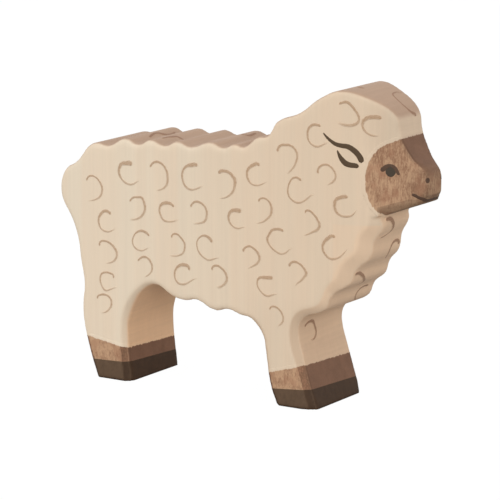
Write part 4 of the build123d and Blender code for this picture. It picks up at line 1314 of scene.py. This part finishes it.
def add_camera(scene, stage):
    """A long lens at the photograph's place."""
    data = bpy.data.cameras.new("camera")
    data.lens = stage.lens
    data.sensor_width = SENSOR_WIDTH
    camera = bpy.data.objects.new("camera", data)
    camera.location = camera_frame(stage)[0]
    camera.rotation_euler = (math.pi / 2 - stage.elevation, 0, stage.azimuth)
    scene.collection.objects.link(camera)
    scene.camera = camera


def add_light(scene, stage):
    """White room light, and two soft lamps: on the sheep's right side and from ahead of it."""
    world = bpy.data.worlds.new("room")
    world.use_nodes = True
    bench = Bench(world.node_tree)
    rays = bench.add("ShaderNodeLightPath").outputs
    mirrored = bench.sum("MAXIMUM", rays["Is Glossy Ray"], rays["Is Transmission Ray"])
    straight = bench.sum("MAXIMUM", rays["Is Camera Ray"], mirrored)
    strength = bench.plus(stage.room_light, bench.times(straight, 1.0 - stage.room_light))
    room = bench.out("ShaderNodeBackground", {"Color": (1, 1, 1, 1), "Strength": strength})
    bench.add("ShaderNodeOutputWorld", {"Surface": room})
    scene.world = world
    for name, energy, toward in (("key light", stage.key_light, KEY_TOWARD),
                                 ("fill light", stage.fill_light, FILL_TOWARD)):
        data = bpy.data.lights.new(name, "SUN")
        data.energy = energy
        data.angle = LAMP_WIDTH
        lamp = bpy.data.objects.new(name, data)
        lamp.rotation_euler = Vector(toward).to_track_quat("-Z", "Y").to_euler()
        scene.collection.objects.link(lamp)


def add_floor(scene):
    """A plain white floor that keeps a faint shadow."""
    mesh = bpy.data.meshes.new("floor")
    signs = ((-1, -1), (1, -1), (1, 1), (-1, 1))
    corners = [(x * FLOOR_REACH, y * FLOOR_REACH, -FLOOR_DROP) for x, y in signs]
    mesh.from_pydata(corners, [], [(0, 1, 2, 3)])
    look = bpy.data.materials.new("floor paper")
    look.use_nodes = True
    bench = Bench(look.node_tree)
    plain = bench.out("ShaderNodeBsdfDiffuse", {"Color": (FLOOR_GREY, FLOOR_GREY, FLOOR_GREY, 1)})
    white = bench.out("ShaderNodeEmission", {"Color": (1, 1, 1, 1), "Strength": FLOOR_GLOW})
    camera_only = bench.add("ShaderNodeLightPath").outputs["Is Camera Ray"]
    share = bench.times(camera_only, GLOW_SHARE)
    both = bench.out("ShaderNodeMixShader", {0: share, 1: plain, 2: white})
    bench.add("ShaderNodeOutputMaterial", {"Surface": both})
    mesh.materials.append(look)
    floor = bpy.data.objects.new("floor", mesh)
    scene.collection.objects.link(floor)


class SHEEP_PT_panel(bpy.types.Panel):
    """Buttons and settings of the sheep"""

    bl_idname = "SHEEP_PT_panel"
    bl_label = "Wooden sheep"
    bl_space_type = "VIEW_3D"
    bl_region_type = "UI"
    bl_category = "Sheep"

    def draw(self, context):
        for operator in OPERATORS:
            self.layout.operator(operator.bl_idname)
        for name in SETTINGS:
            group = getattr(context.scene, name)
            box = self.layout.box()
            for prop in group.bl_rna.properties:
                if prop.identifier not in ("rna_type", "name"):
                    box.prop(group, prop.identifier)


OPERATORS = (SHEEP_OT_wood, SHEEP_OT_face, SHEEP_OT_feet, SHEEP_OT_ears, SHEEP_OT_eyes, SHEEP_OT_muzzle,
             SHEEP_OT_side_curls, SHEEP_OT_edge_curls, SHEEP_OT_stage)
SETTINGS = {"sheep_wood": SheepWood, "sheep_stain": SheepStain, "sheep_paint": SheepPaint,
            "sheep_stage": SheepStage}


def register():
    """Adds the settings, the operators and the panel to Blender."""
    for group in SETTINGS.values():
        bpy.utils.register_class(group)
    for name, group in SETTINGS.items():
        setattr(bpy.types.Scene, name, bpy.props.PointerProperty(type=group))
    for operator in OPERATORS:
        bpy.utils.register_class(operator)
    bpy.utils.register_class(SHEEP_PT_panel)


def unregister():
    """Takes the settings, the operators and the panel out again."""
    bpy.utils.unregister_class(SHEEP_PT_panel)
    for operator in reversed(OPERATORS):
        bpy.utils.unregister_class(operator)
    for name in SETTINGS:
        delattr(bpy.types.Scene, name)
    for group in reversed(list(SETTINGS.values())):
        bpy.utils.unregister_class(group)


def main():
    """Makes the sheep and its stage."""
    register()
    bpy.ops.sheep.wood()
    bpy.ops.sheep.face()
    bpy.ops.sheep.feet()
    bpy.ops.sheep.ears()
    bpy.ops.sheep.eyes()
    bpy.ops.sheep.muzzle()
    bpy.ops.sheep.side_curls()
    bpy.ops.sheep.edge_curls()
    bpy.ops.sheep.stage()


if __name__ == "__main__":
    main()
